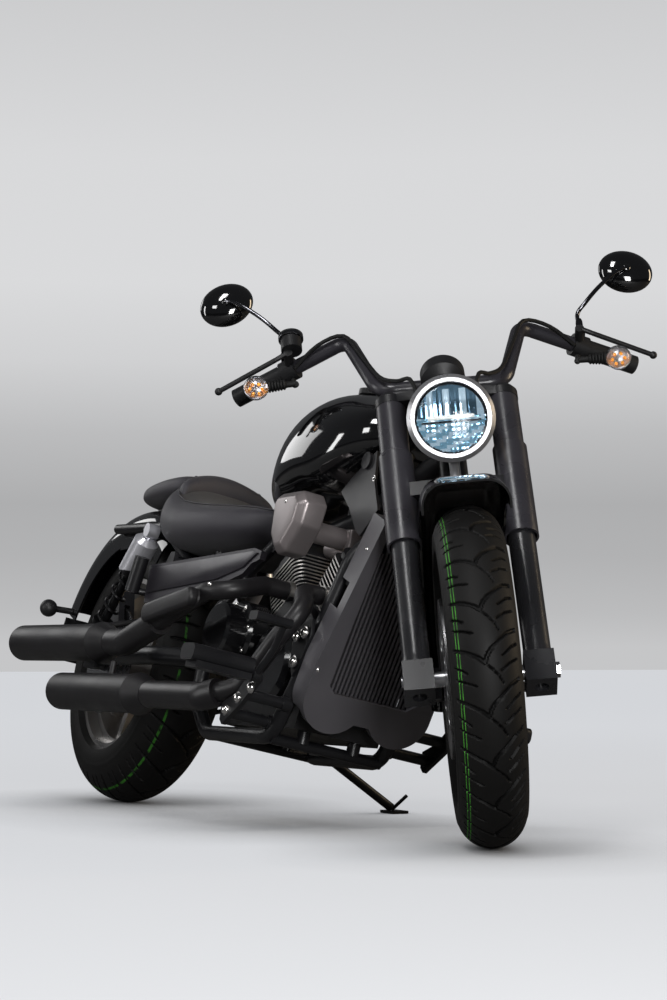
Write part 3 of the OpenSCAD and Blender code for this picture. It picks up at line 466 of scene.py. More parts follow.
def finish(name, colour, rough, metal=0.0, coat=0.0, grain=900.0, bump=0.05, drift=0.06, dust=1.5,
           shine=0.5):
    """Uneven roughness, slightly uneven colour and a fine grain"""
    mat = new_material(name, colour, rough, metal, coat, shine)
    bsdf = shader_of(mat)
    coords = object_coords(mat)
    fine = wire(mat, "ShaderNodeTexNoise", Scale=grain, Detail=3.0)
    broad = wire(mat, "ShaderNodeTexNoise", Scale=9.0, Detail=5.0)
    link(mat, coords, fine.inputs["Vector"])
    link(mat, coords, broad.inputs["Vector"])
    link(mat, ramp_between(mat, broad.outputs["Fac"], max(rough - drift, 0.02), rough + drift),
         bsdf.inputs["Roughness"])
    bright = [min(c * dust + 0.001, 1) for c in colour]
    recolour(mat, mixed_colour(mat, broad.outputs["Fac"], colour, bright))
    relief = wire(mat, "ShaderNodeBump", Strength=bump, Distance=0.0006)
    link(mat, fine.outputs["Fac"], relief.inputs["Height"])
    link(mat, relief.outputs["Normal"], bsdf.inputs["Normal"])
    return mat


PAINT = {
    "gloss_black": finish("gloss_black_paint", (0.0022, 0.0022, 0.0026), 0.07, coat=1.0, grain=400, bump=0.004,
                          drift=0.015),
    "frame_black": finish("powder_coat", (0.006, 0.006, 0.007), 0.36, grain=1400, bump=0.12, shine=0.4),
    "fork_black": finish("matte_black_tube", (0.021, 0.02, 0.024), 0.3, grain=1600, bump=0.08),
    "engine_black": finish("engine_paint", (0.008, 0.008, 0.009), 0.42, grain=700, bump=0.25, shine=0.45),
    "cover_black": finish("gloss_cover_paint", (0.003, 0.003, 0.0035), 0.14, coat=0.8, grain=500, bump=0.01),
    "satin_grey": finish("satin_grey_paint", (0.02, 0.0195, 0.021), 0.38, metal=0.3, grain=2200, bump=0.05),
    "satin_violet": finish("satin_violet_paint", (0.022, 0.02, 0.025), 0.38, metal=0.3, grain=2400, bump=0.04),
    "bronze_grey": finish("bronze_grey_paint", (0.2, 0.178, 0.178), 0.36, metal=0.6, grain=2400, bump=0.05),
    "exhaust_black": finish("exhaust_paint", (0.008, 0.0074, 0.0082), 0.42, grain=1500, bump=0.16, shine=0.4),
    "trim_black": finish("moulded_plastic", (0.007, 0.007, 0.0078), 0.46, grain=1100, bump=0.3, shine=0.4),
    "radiator_black": finish("radiator_core_paint", (0.002, 0.002, 0.002), 0.6, grain=900, bump=0.2, shine=0.3),
    "belt_rubber": finish("soft_rubber", (0.004, 0.004, 0.004), 0.62, grain=1300, bump=0.25, shine=0.3),
    "caliper_grey": finish("cast_caliper", (0.025, 0.025, 0.028), 0.4, metal=0.5, grain=700, bump=0.3),
    "rim_black": finish("rim_paint", (0.004, 0.004, 0.0045), 0.2, coat=0.4, grain=600, bump=0.02),
    "rim_silver": finish("machined_rim", (0.42, 0.41, 0.4), 0.3, metal=1.0, grain=500, bump=0.06, dust=1.25),
    "disc_steel": finish("brushed_disc", (0.4, 0.4, 0.41), 0.27, metal=1.0, grain=300, bump=0.05, dust=1.2),
    "axle_steel": finish("turned_steel", (0.5, 0.5, 0.52), 0.25, metal=1.0, grain=500, bump=0.04, dust=1.2),
    "shock_silver": finish("anodised_silver", (0.62, 0.62, 0.66), 0.3, metal=0.7, grain=1800, bump=0.03,
                           dust=1.1),
    "headlight_silver": finish("brushed_bezel", (0.3, 0.3, 0.31), 0.3, metal=0.7, grain=1500, bump=0.04,
                               dust=1.1),
    "bolt_chrome": finish("bolt_chrome", (0.8, 0.78, 0.76), 0.14, metal=1.0, grain=800, bump=0.01, dust=1.1),
    "signal_clear": finish("lamp_housing", (0.02, 0.02, 0.022), 0.3, grain=900, bump=0.05),
}
print("finishes", len(PAINT))

# %% [markdown]
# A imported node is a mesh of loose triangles. A Weld modifier joins them, smooth shading rounds the curved
# faces, and an Edge Split modifier keeps every real edge sharp. The vertices themselves stay as they are.

# %% Finishes of the CAD nodes
WELD_REACH, SHARP_EDGE = 0.000002, math.radians(32)
slots = {s["node"]: s["material_slot"] for s in frame["record"]["subparts"]}
for name, obj in nodes.items():
    weld = obj.modifiers.new("weld", "WELD")
    weld.merge_threshold = WELD_REACH
    split = obj.modifiers.new("split", "EDGE_SPLIT")
    split.split_angle = SHARP_EDGE
    obj.data.polygons.foreach_set("use_smooth", [True] * len(obj.data.polygons))
    obj.data.materials.clear()
    obj.data.materials.append(PAINT.get(slots[name], PAINT["frame_black"]))

print("finished nodes", len(nodes))

# %% [markdown]
# Three nodes differ from the rest of their slot. The shock is a silver can over a black spring, and the two
# are told apart by their height on the bike. The radiator's shroud is paler plastic, and the fork's lower
# tubes are smoother than its covers.

# %% Shock, shroud and lower tubes
CAN_BOTTOM = 524


def bike_height(mat):
    """Height in the bike's own place, in millimetres, from Object coordinates"""
    dot = wire(mat, "ShaderNodeVectorMath", operation="DOT_PRODUCT")
    dot.inputs[1].default_value = up * 1000
    link(mat, object_coords(mat), dot.inputs[0])
    return math_op(mat, "SUBTRACT", dot.outputs["Value"], up.dot(BIKE.translation) * 1000)


shock = finish("shock_can_and_spring", (0.62, 0.62, 0.66), 0.3, metal=0.7, grain=1800, bump=0.03, dust=1.1)
can = ramp_between(shock, bike_height(shock), 0.0, 1.0, CAN_BOTTOM - 1, CAN_BOTTOM + 1)
recolour(shock, mixed_colour(shock, can, (0.012, 0.012, 0.013), base_source(shock)))
nodes["rear_shocks"].data.materials[0] = shock
nodes["radiator_shroud"].data.materials[0] = finish("shroud_plastic", (0.05, 0.048, 0.053), 0.36, grain=1100,
                                                    bump=0.2)
nodes["fork_sliders"].data.materials[0] = finish("slider_satin", (0.012, 0.012, 0.0135), 0.26, grain=1600,
                                                 bump=0.05)
print("can above", CAN_BOTTOM, "mm")

# %% [markdown]
# ## Cylinders
# The air-cooled look comes from the fins. They are painted black all over, and then their rims are machined
# bright. The paint is told apart by place: in each cylinder's own slanted place, a point is on a rim when its
# distance from the rounded fin outline is nearly nothing. Between the fins the barrel stays dark.

# %% Machined fin rims
CRANK = (930, 0, 330)
FIN_HALF, FIN_Y, FIN_ROUND, RIM_DEPTH = 70.0, 88.0, 24.0, 0.9
FIRST_FIN, LAST_FIN = 137, 246


def fin_material(name, degrees):
    mat = finish(name, (0.008, 0.008, 0.009), 0.42, metal=0.1, grain=700, bump=0.2)
    where = BIKE @ Matrix.Translation(CRANK) @ Matrix.Rotation(math.radians(degrees), 4, "Y")
    inverse = where.inverted()
    own_place = wire(mat, "ShaderNodeMapping", Scale=(1000, 1000, 1000), Location=inverse.translation,
                     Rotation=(inverse.to_3x3() * 0.001).to_euler("XYZ"))
    link(mat, object_coords(mat), own_place.inputs["Vector"])
    at = wire(mat, "ShaderNodeSeparateXYZ")
    link(mat, own_place.outputs[0], at.inputs[0])

    def past(axis, half):
        """How far a point lies past the straight part of the outline"""
        off = math_op(mat, "SUBTRACT", math_op(mat, "ABSOLUTE", at.outputs[axis]), half - FIN_ROUND)
        return math_op(mat, "MAXIMUM", off, 0.0)

    dx, dy = past(0, FIN_HALF), past(1, FIN_Y)
    squares = math_op(mat, "ADD", math_op(mat, "MULTIPLY", dx, dx), math_op(mat, "MULTIPLY", dy, dy))
    rim = math_op(mat, "GREATER_THAN", math_op(mat, "POWER", squares, 0.5), FIN_ROUND - RIM_DEPTH)
    band = math_op(mat, "MULTIPLY", math_op(mat, "GREATER_THAN", at.outputs[2], FIRST_FIN),
                   math_op(mat, "LESS_THAN", at.outputs[2], LAST_FIN))
    mask = math_op(mat, "MULTIPLY", rim, band)
    recolour(mat, mixed_colour(mat, mask, base_source(mat), (0.52, 0.5, 0.48)))
    link(mat, mask, shader_of(mat).inputs["Metallic"])
    return mat


for name, degrees in (("front", 38), ("rear", -34)):
    nodes[name + "_cylinder"].data.materials[0] = fin_material(name + "_fins", degrees)
    print(name, "cylinder leans", degrees, "degrees")

# %% [markdown]
# ## Tyres
# A cruiser tyre has a round crown and long grooves that sweep from one shoulder over the centre line, right
# and left in turn, with short cuts between them. One pitch of the pattern is written as polylines: along the
# tyre and across it, in millimetres. The skin is a grid wrapped once round the wheel, and each point is pushed
# inwards by how near it lies to a groove line. The distance across is kept as an attribute, so that the
# coloured moulding stripes can follow the tread.

# %% Tread
PITCH_DRAWN, GROOVE_DEPTH = 96.0, 4.0
TREAD_EDGE, RIDGE_AT, RIDGE_HALF, RIDGE_RISE = 1.22, 1.34, 0.03, 0.8
PITCH_COLUMNS, ROWS_ACROSS, BEAD_DEPTH, OFF_TREAD = 42, 84, 10.5, 999.0
# one pitch: (half width, [(along, across), ...])
GROOVES = [
    (2.9, [(0, 66), (8, 45), (20, 30), (33, 15), (42, 6), (52, 0), (62, -3)]),
    (2.9, [(33, -66), (38, -46), (44, -31), (52, -15), (62, -3)]),
    (1.0, [(62, -3), (74, 9), (86, 20), (100, 27)]),
    (1.5, [(28, 66), (36, 48), (47, 36), (50, 31)]),
    (1.5, [(57, 64), (66, 42), (78, 26)]),
    (1.5, [(66, -66), (72, -50), (80, -38)]),
    (1.5, [(90, -64), (96, -42), (103, -22)]),
]
print(len(GROOVES), "grooves a pitch")


def tread_depth(along_mm, across_mm, pitch):
    """Depth share of the grooves at arrays of places on the skin"""
    depth = np.zeros(along_mm.shape)
    scale = pitch / PITCH_DRAWN
    for width, line in GROOVES:
        for (a0, c0), (a1, c1) in zip(line, line[1:]):
            p0, p1 = np.array([a0 * scale, c0]), np.array([a1 * scale, c1])
            step = p1 - p0
            for lap in (-1, 0, 1):
                dx = along_mm % pitch + lap * pitch - p0[0]
                dy = across_mm - p0[1]
                t = np.clip((dx * step[0] + dy * step[1]) / (step @ step), 0, 1)
                away = np.hypot(dx - t * step[0], dy - t * step[1])
                depth = np.maximum(depth, np.clip((width + 0.9 - away) / 1.1, 0, 1))
    return depth


def make_tyre(name, radius, width, rim_r, bead, repeats, stretch):
    """The skin: a grid round the wheel, with the grooves pushed in"""
    crown = width / 2
    start_angle = math.acos((rim_r + 0.5 - (radius - crown)) / crown)
    columns = repeats * PITCH_COLUMNS
    around = 2 * math.pi * radius
    turns = np.arange(columns) / columns
    turn, angle = np.meshgrid(turns, np.linspace(-start_angle, start_angle, ROWS_ACROSS), indexing="ij")
    across = crown * angle
    depth = GROOVE_DEPTH * tread_depth(turn * around, across * stretch, around / repeats)
    depth[np.abs(angle) > TREAD_EDGE] = 0
    r = radius - crown + (crown - depth) * np.cos(angle)
    y = (crown - depth) * np.sin(angle)
    ridge = np.abs(np.abs(angle) - RIDGE_AT) < RIDGE_HALF
    y[ridge] += np.sign(y[ridge]) * RIDGE_RISE

    def with_beads(grid, first, last):
        """The bead rows close the skin at the rim"""
        return np.concatenate([np.full((columns, 1), first), grid, np.full((columns, 1), last)], axis=1)

    r = with_beads(r, rim_r - BEAD_DEPTH, rim_r - BEAD_DEPTH)
    y = with_beads(y, -float(bead), float(bead))
    spin = -2 * math.pi * turns[:, None]
    points = np.stack([r * np.cos(spin), y, r * np.sin(spin)], axis=-1).reshape(-1, 3)
    count = ROWS_ACROSS + 2
    faces = [(i * count + j, i * count + (j + 1) % count, (i + 1) % columns * count + (j + 1) % count,
              (i + 1) % columns * count + j) for i in range(columns) for j in range(count)]
    obj = new_mesh(name, points.tolist(), [], faces)
    for key, grid in (("across", with_beads(across, -OFF_TREAD, OFF_TREAD)),
                      ("groove_shade", with_beads(depth / GROOVE_DEPTH, 0.0, 0.0))):
        obj.data.attributes.new(key, "FLOAT", "POINT").data.foreach_set("value", grid.reshape(-1))
    tidy_mesh(obj, merge=0)
    return obj


def tyre_rubber(name, stripes, worn_out):
    """Dull rubber, darker in the grooves as painted shade, with worn stripes at (centre, half width) places
    across
    """
    mat = finish(name, (0.0045, 0.0043, 0.0042), 0.58, grain=1500, bump=0.15, drift=0.06, shine=0.16)
    across = wire(mat, "ShaderNodeAttribute", attribute_name="across").outputs["Fac"]
    patchy = wire(mat, "ShaderNodeTexNoise", Scale=60.0, Detail=6.0)
    link(mat, object_coords(mat), patchy.inputs["Vector"])
    for centre, half in stripes:
        off = math_op(mat, "ABSOLUTE", math_op(mat, "SUBTRACT", across, centre))
        share = math_op(mat, "MULTIPLY", math_op(mat, "LESS_THAN", off, half),
                        ramp_between(mat, patchy.outputs["Fac"], *worn_out, 0.4, 0.55))
        recolour(mat, mixed_colour(mat, share, base_source(mat), (0.06, 0.3, 0.03)))
    # painted shade: the rubber is drawn nearly black in the grooves, darker where they are deeper
    groove_shade = wire(mat, "ShaderNodeAttribute", attribute_name="groove_shade").outputs["Fac"]
    recolour(mat, mixed_colour(mat, ramp_between(mat, groove_shade, 0.0, 1.0, 0.1, 0.6), base_source(mat),
                               (0.0006, 0.0006, 0.0006)))
    return mat


# %% Front and rear tyre
front_tread = make_tyre("front_tyre_tread", FRONT_R, 130, 240, 43.7, 21, 1.0)
seat_piece(front_tread, "front_tyre_tread", "front_wheel", FORK,
           tyre_rubber("front_tyre_tread_rubber", ((-51, 0.9), (-58, 0.9)), (0.5, 1.0)), 30)
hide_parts("front_tyre")
rear_tread = make_tyre("rear_tyre_tread", REAR_R, 178, 216, 63.7, 19, 0.72)
seat_piece(rear_tread, "rear_tyre_tread", "rear_wheel", REAR_HUB,
           tyre_rubber("rear_tyre_tread_rubber", ((-58, 3.0),), (0.0, 0.5)), 30)
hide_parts("rear_tyre")

# %% [markdown]
# ## Tank
# The tank is a pressed shell under deep black gloss. A CAD loft of a few flat sections would show its facets
# in such paint, so the same sections are run through a smooth curve here and closed with many more points.

# %% Smooth loft through sections
def catmull(rows, steps):
    """Rows of numbers, with smooth rows between them"""
    out = []
    for i in range(len(rows) - 1):
        a, b = rows[max(i - 1, 0)], rows[i]
        c, d = rows[i + 1], rows[min(i + 2, len(rows) - 1)]
        for k in range(steps):
            t = k / steps
            out.append([0.5 * (2 * q + (r - p) * t + (2 * p - 5 * q + 4 * r - s) * t * t
                               + (3 * q - p - 3 * r + s) * t ** 3) for p, q, r, s in zip(a, b, c, d)])
    out.append(list(rows[-1]))
    return out


def skin(name, rings):
    """A closed skin over rings with the same number of points"""
    count = len(rings[0])
    points = [p for ring in rings for p in ring]
    faces = [(i * count + j, i * count + (j + 1) % count, (i + 1) * count + (j + 1) % count,
              (i + 1) * count + j) for i in range(len(rings) - 1) for j in range(count)]
    faces += [tuple(range(count)), tuple(range(len(points) - count, len(points)))]
    obj = new_mesh(name, points, [], faces)
    tidy_mesh(obj)
    return obj


def power(value, exponent):
    return math.copysign(abs(value) ** (2 / exponent), value)


RING_POINTS = 64


def oval_ring(row):
    """A squarish ring: x, mid height, half width, rise, drop, squareness below and above"""
    x, mid, half, rise, drop, below, above = row
    ring = []
    for k in range(RING_POINTS):
        t = 2 * math.pi * (k + 0.5) / RING_POINTS
        c, s = math.cos(t), math.sin(t)
        square = above if s > 0 else below
        ring.append((x, half * power(c, square), mid + (rise if s > 0 else drop) * power(s, square)))
    return ring


def shrunk(row, x, share):
    return (x, row[1], row[2] * share, row[3] * share, row[4] * share, *row[5:])


print("loft helpers are ready")

# %% Tank shell
# columns: x, mid height, half width, rise, drop, squareness below, squareness above
TANK = [(652, 712, 52, 70, 46, 2.4, 2.2), (690, 716, 92, 118, 58, 2.6, 2.1), (750, 732, 130, 152, 70, 2.7, 2.1),
        (820, 748, 156, 166, 76, 2.8, 2.1), (900, 762, 166, 164, 78, 2.8, 2.15),
        (980, 772, 164, 148, 80, 2.8, 2.2), (1050, 790, 150, 108, 68, 2.8, 2.3),
        (1105, 806, 122, 74, 54, 2.8, 2.4), (1140, 812, 84, 52, 40, 2.6, 2.4)]
rows = catmull(TANK, 6)
rows = ([shrunk(rows[0], 643, 0.35), shrunk(rows[0], 647, 0.8)] + rows
        + [shrunk(rows[-1], 1145, 0.85), shrunk(rows[-1], 1148, 0.45)])
tank = skin("tank", [oval_ring(r) for r in rows])
seat_piece(tank, "tank_shell", "chassis", BIKE, PAINT["gloss_black"], 60)
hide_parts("tank")

# %% [markdown]
# ## Seat
# The seat is a leather bucket. Its rim is low at the front and rises to a thick bolster behind the rider, the
# side walls bulge out and tuck under, and a flatter insert is sewn in with a raised welt. It is built from
# sections across the bike, each with the same points from the keel over the rim to the middle, and rounded
# by subdivision. A simulation would lose the welt lines, so they are drawn along the finished sections.

# %% Leather
def leather(name, colour, cell, rough=0.5):
    mat = finish(name, colour, rough, grain=2600, bump=0.1, drift=0.05, dust=1.7)
    bsdf = shader_of(mat)
    hide = wire(mat, "ShaderNodeTexVoronoi", Scale=cell, Randomness=0.95, feature="DISTANCE_TO_EDGE")
    link(mat, object_coords(mat), hide.inputs["Vector"])
    relief = wire(mat, "ShaderNodeBump", Strength=0.35, Distance=0.0008)
    link(mat, ramp_between(mat, hide.outputs["Distance"], 0, 1, 0.0, 0.12), relief.inputs["Height"])
    link(mat, bsdf.inputs["Normal"].links[0].from_socket, relief.inputs["Normal"])
    link(mat, relief.outputs["Normal"], bsdf.inputs["Normal"])
    bsdf.inputs["Sheen Weight"].default_value = 0.1
    bsdf.inputs["Sheen Roughness"].default_value = 0.5
    return mat


wall_leather = leather("wall_leather", (0.019, 0.0175, 0.0225), 620)
insert_leather = leather("insert_leather", (0.0085, 0.0068, 0.0062), 900, 0.62)
welt = finish("welt_cord", (0.03, 0.028, 0.032), 0.5, grain=1500, bump=0.2)
print("leathers", wall_leather.name, insert_leather.name)

# %% Seat sections
# columns: x, keel height, bulge height, rim height, middle height, keel half, bulge half, rim half, inner half
SEAT = [(186, 672, 704, 748, 752, 46, 78, 62, 36), (200, 640, 692, 748, 756, 84, 116, 96, 62),
        (226, 608, 672, 734, 750, 112, 148, 120, 90), (270, 587, 650, 712, 736, 128, 169, 134, 108),
        (330, 579, 637, 694, 714, 136, 180, 142, 116), (400, 577, 631, 684, 697, 138, 184, 144, 118),
        (480, 578, 629, 678, 687, 132, 180, 138, 110), (560, 583, 630, 676, 681, 116, 165, 122, 94),
        (618, 591, 636, 676, 678, 94, 138, 100, 72), (652, 606, 644, 674, 674, 66, 106, 74, 46),
        (666, 630, 656, 672, 672, 34, 66, 44, 24)]


def seat_section(row):
    x, keel, bulge, rim, mid, wk, wb, wr, wi = row
    half = [(0, keel), (wk * 0.6, keel), (wk, keel + 5), (wb * 0.96, keel * 0.5 + bulge * 0.5), (wb, bulge),
            (wb * 0.98, bulge + (rim - bulge) * 0.42), (wr + (wb - wr) * 0.5, rim - (rim - bulge) * 0.2),
            (wr, rim - 2), (wr - (wr - wi) * 0.5, rim - (rim - mid) * 0.16), (wi, mid + (rim - mid) * 0.5),
            (wi * 0.84, mid + (rim - mid) * 0.2), (wi * 0.45, mid + 1), (0, mid)]
    ring = [(x, -y, z) for y, z in half]
    ring += [(x, y, z) for y, z in reversed(half[1:-1])]
    return ring


seat = skin("seat", [seat_section(r) for r in catmull(SEAT, 3)])
apply_modifier(seat, "SUBSURF", levels=2, render_levels=2)
seat.data.materials.append(wall_leather)
seat.data.materials.append(insert_leather)


def insert_edge(x):
    """Half width and height of the welt round the insert at a place along the seat"""
    for a, b in zip(SEAT, SEAT[1:]):
        if a[0] <= x <= b[0]:
            t = (x - a[0]) / (b[0] - a[0])
            row = [p + (q - p) * t for p, q in zip(a, b)]
            return row[7] * 0.93 + row[8] * 0.07, row[3] + 0.4
    return 0, 0


for p in seat.data.polygons:
    wide = insert_edge(p.center.x)[0]
    p.material_index = 1 if abs(p.center.y) < wide and p.normal.z > 0.2 and 216 < p.center.x < 664 else 0
seat_piece(seat, "seat_leather", "chassis", BIKE, None, 60)
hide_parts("seat")

# %% [markdown]
# The roll behind the rider crosses the seat, and its ends drop and wrap forwards. Round cords cover the
# seams: one runs round the insert and in front of the roll, and two cross the roll itself.

# %% Back roll and welts
ROLL_DEEP, ROLL_RISE, ROLL_DROP = 27, 30, 40
WELT_R, ROLL_WELT_R = 2.0, 1.4


def roll_middle(y):
    """Place and height of the roll's middle at a place across the bike"""
    return 212 + 0.0024 * y * y, 764 - 0.0026 * y * y


rings = []
for y, share in ((-124, 0.3), (-120, 0.66), (-110, 0.9), (-88, 1), (-44, 1.02), (0, 1.04), (44, 1.02), (88, 1),
                 (110, 0.9), (120, 0.66), (124, 0.3)):
    mid_x, mid_z = roll_middle(y)
    ring = []
    for k in range(16):
        c, s = math.cos(k * math.pi / 8), math.sin(k * math.pi / 8)
        ring.append((mid_x + ROLL_DEEP * share * c, y, mid_z + (ROLL_RISE if s > 0 else ROLL_DROP) * share * s))
    rings.append(ring)
roll = skin("roll", rings)
apply_modifier(roll, "SUBSURF", levels=2, render_levels=2)
seat_piece(roll, "seat_back_roll", "chassis", BIKE, wall_leather, 60)

stations = [r[0] for r in catmull(SEAT, 3) if 222 < r[0] < 660]
path = [(x, -insert_edge(x)[0], insert_edge(x)[1] + 0.5) for x in reversed(stations)]
path += [(214, -100, 747), (206, 0, 756), (214, 100, 747)]
path += [(x, insert_edge(x)[0], insert_edge(x)[1] + 0.5) for x in stations]
welts = [tube(path, WELT_R)]
for y in (-84, 84):
    mid_x, mid_z = roll_middle(y)
    welts.append(tube([(mid_x + 25.6 * math.cos(t * math.pi / 8), y, mid_z + 28.4 * math.sin(t * math.pi / 8))
                       for t in range(-1, 10)], ROLL_WELT_R))
seat_piece(join(welts), "seat_welts", "chassis", BIKE, welt)

# %% [markdown]
# The passenger's pad is a flat pill of the same leather. Its underside follows the round of the rear fender,
# and a dark pan fills the gap below it.

# %% Pillion pad
FENDER_TOP_R, PAD_POINTS = 383.5, 28
# columns: x, mid height, half width, rise, drop
PILLION = [(-92, 742, 60, 18, 20), (-60, 742, 88, 28, 24), (20, 746, 104, 32, 28), (110, 752, 108, 32, 30),
           (172, 756, 100, 30, 26), (186, 756, 88, 24, 16)]
pad_rings = []
for x, mid, half, rise, drop in catmull(PILLION, 3):
    fender_z = REAR_R + math.sqrt(max(FENDER_TOP_R ** 2 - x * x, 0))
    ring = []
    for k in range(PAD_POINTS):
        t = 2 * math.pi * (k + 0.5) / PAD_POINTS
        y, z = half * power(math.cos(t), 3.0), math.sin(t)
        ring.append((x, y, max(mid + (rise if z > 0 else drop) * power(z, 2.8), fender_z)))
    pad_rings.append(ring)
pad = skin("pad", pad_rings)
pan = start("cube", size=1, location=(50, 0, 716), scale=(200, 88, 24))
apply_modifier(pad, "SUBSURF", levels=1, render_levels=1)
seat_piece(pad, "pillion_leather", "chassis", BIKE, wall_leather, 60)
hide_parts("pillion_seat")
seat_piece(pan, "pillion_pan", "chassis", BIKE, PAINT["trim_black"])

# %% [markdown]
# ## Air cleaners
# Each pod is a cast cover with a flat outer face, a wide chamfer all round and softly rounded edges. An
# outline is extruded, its outer face is inset and pushed out, and a bevel softens every edge.

# %% Pods
POD_INNER, POD_EDGE, POD_CHAMFER = 148, 196, 15
POD = [(962, 662), (1058, 664), (1084, 640), (1074, 590), (1030, 536), (992, 530), (958, 566), (946, 640)]


def outline_piece(points, y0, y1):
    """A flat outline in the bike's side plane, extruded across the bike"""
    obj = new_mesh("outline", [(x, y0, z) for x, z in points], [], [tuple(range(len(points)))])
    edit(obj)
    bpy.ops.mesh.select_all(action="SELECT")
    bpy.ops.mesh.extrude_region_move(TRANSFORM_OT_translate={"value": (0, y1 - y0, 0)})
    close_edit()
    tidy_mesh(obj, merge=0)
    return obj


def soften(obj, width, segments, degrees):
    """Rounds the edges that are sharper than an angle"""
    apply_modifier(obj, "BEVEL", width=width, segments=segments, limit_method="ANGLE",
                   angle_limit=math.radians(degrees))


pods = []
for side in (-1, 1):
    pod = outline_piece(POD, side * POD_INNER, side * POD_EDGE)
    edit(pod)
    select_where(pod, lambda c, n, s=side: n.y * s > 0.9)
    bpy.ops.mesh.inset(thickness=POD_CHAMFER)
    bpy.ops.transform.translate(value=(0, side * POD_CHAMFER, 0))
    close_edit()
    soften(pod, 5, 4, 12)
    neck = start("cylinder", radius=23, depth=98, vertices=48, location=(985, side * 99, 598),
                 rotation=(math.pi / 2, 0, 0))
    pods += [pod, neck]
plenum = rounded_block((987, 0, 599.5), (64, 104, 43), 5, 3)
inlet = start("cylinder", radius=20, depth=195, vertices=40, location=(940.5, 0, 592),
              rotation=(0, math.pi / 2, 0))
pods = join(pods + [plenum, inlet])
seat_piece(pods, "air_cleaner_pods", "chassis", BIKE, PAINT["bronze_grey"], 40)
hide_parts("air_cleaners")

# %% [markdown]
# ## Headlight
# The lamp has a brushed bezel, a dark ring inside it, and a clear glass over a bright reflector. A bar across
# the middle carries the lamps. The reflector's upper half has upright facets, and its lower half many small
# ones, with painted sparkle. All of it is turned or laid out in the lamp's own place, looking along +Z.

# %% Lamp place and glass
LAMP = FORK @ Matrix.Translation((100, 0, 540)) @ Matrix.Rotation(RAKE, 4, "Y") @ Matrix.Rotation(
    math.pi / 2, 4, "Y")
LAMP_R = 71.7
glass = new_material("lamp_glass", (0.9, 0.95, 1.0), 0.02, clear=1.0)
bulge = turned([(0, 3.0), (24, 2.4), (48, 0.4), (64, -3.5), (LAMP_R, -8), (LAMP_R, -10.5), (62, -6.5),
                (46, -2.6), (24, -0.4), (0, 0)])
seat_piece(bulge, "headlight_glass", "fork", LAMP, glass, 40)
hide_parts("headlight_lens")

# %% [markdown]
# Seen through the glass, the reflector is a mosaic of blue, pale and nearly white facets, which are painted
# reflections.
# They mirror the studio too little to sparkle as in the photograph, so each finish gives off a little light of
# its own as painted glint.

# %% Reflector finishes
# painted reflection and glint: each facet finish glows, and the nearly white one stands for a highlight
REFLECTOR = [shining(finish(name, colour, rough, metal=1.0, grain=300, bump=0.02, dust=dust), light, strength)
             for name, colour, rough, dust, light, strength in (
                 ("reflector", (0.2, 0.32, 0.42), 0.12, 1.3, (0.3, 0.55, 0.7), 0.07),
                 ("reflector_painted_glint", (0.8, 0.9, 0.95), 0.1, 1.05, (0.62, 0.82, 0.95), 0.42),
                 ("reflector_pale", (0.4, 0.62, 0.75), 0.14, 1.1, (0.3, 0.6, 0.78), 0.3))]
BLUE, PAINTED_GLINT, PALE = 0, 1, 2
lamp_dark = finish("lamp_ring", (0.012, 0.012, 0.014), 0.3, coat=0.3)
bar_white = shining(new_material("lamp_bar", (0.9, 0.89, 0.82), 0.3), (1.0, 0.97, 0.88), 0.6)
print("reflector finishes", len(REFLECTOR))

# %% Reflector facets
BAR_TOP = -4  # up on the bike is -X in the lamp's place
DISH_DEEP, DISH_RISE = -23, 13
reflector = start("grid", x_subdivisions=44, y_subdivisions=44, size=2 * LAMP_R)
edit(reflector)
select_where(reflector, lambda c, n: c.length > LAMP_R - 4)
bpy.ops.mesh.delete(type="FACE")
close_edit()


def fold(place_mm, pitch):
    return abs(((place_mm / pitch) % 1.0) - 0.5)


for v in reflector.data.vertices:
    facet = 1.6 * fold(v.co.y, 9.0) if v.co.x < BAR_TOP else 1.5 * (fold(v.co.y, 11.0) + fold(v.co.x, 9.0))
    v.co.z = DISH_DEEP + DISH_RISE * (v.co.length / LAMP_R) ** 2 + facet
for facet_finish in REFLECTOR:
    reflector.data.materials.append(facet_finish)
# painted glints: bright upright stripes above, bright small squares below, where more facets are painted bright
for p in reflector.data.polygons:
    column, row = int((p.center.y + 72) / 6.5), int((p.center.x + 72) / 6.5)
    if p.center.x < BAR_TOP:
        p.material_index = PAINTED_GLINT if (column * 7) % 5 in (0, 3) and p.center.x > -58 else BLUE
    else:
        p.material_index = PAINTED_GLINT if (column * 5 + row * 3) % 7 in (0, 2, 4) else PALE
seat_piece(reflector, "headlight_reflector", "fork", LAMP, None, 8)

# %% Light bar, shelf and inner ring
light_bar = rounded_block((-2, 0, -9), (7, 92, 12), 2.5, 3)
shelf = rounded_block((7, 0, -12), (4, 118, 12), 1.2, 2)
seat_piece(light_bar, "headlight_bar", "fork", LAMP, bar_white)
ring = turned([(LAMP_R - 0.4, -23), (LAMP_R - 0.4, -9.5), (LAMP_R - 5, -11), (LAMP_R - 10, -22),
               (LAMP_R - 0.4, -23)])
seat_piece(join([ring, shelf]), "headlight_inner_ring", "fork", LAMP, lamp_dark)

# %% [markdown]
# ## Mirrors
# The shells are oval, deep gloss black and domed forwards, with the glass facing the rider. The CAD shape is
# a short stack of rings, so a rounder one is turned from a profile and squeezed to the same oval. A bent
# stem in dark chrome carries each shell at the middle of its back, and stands in a six-sided foot on the bar.

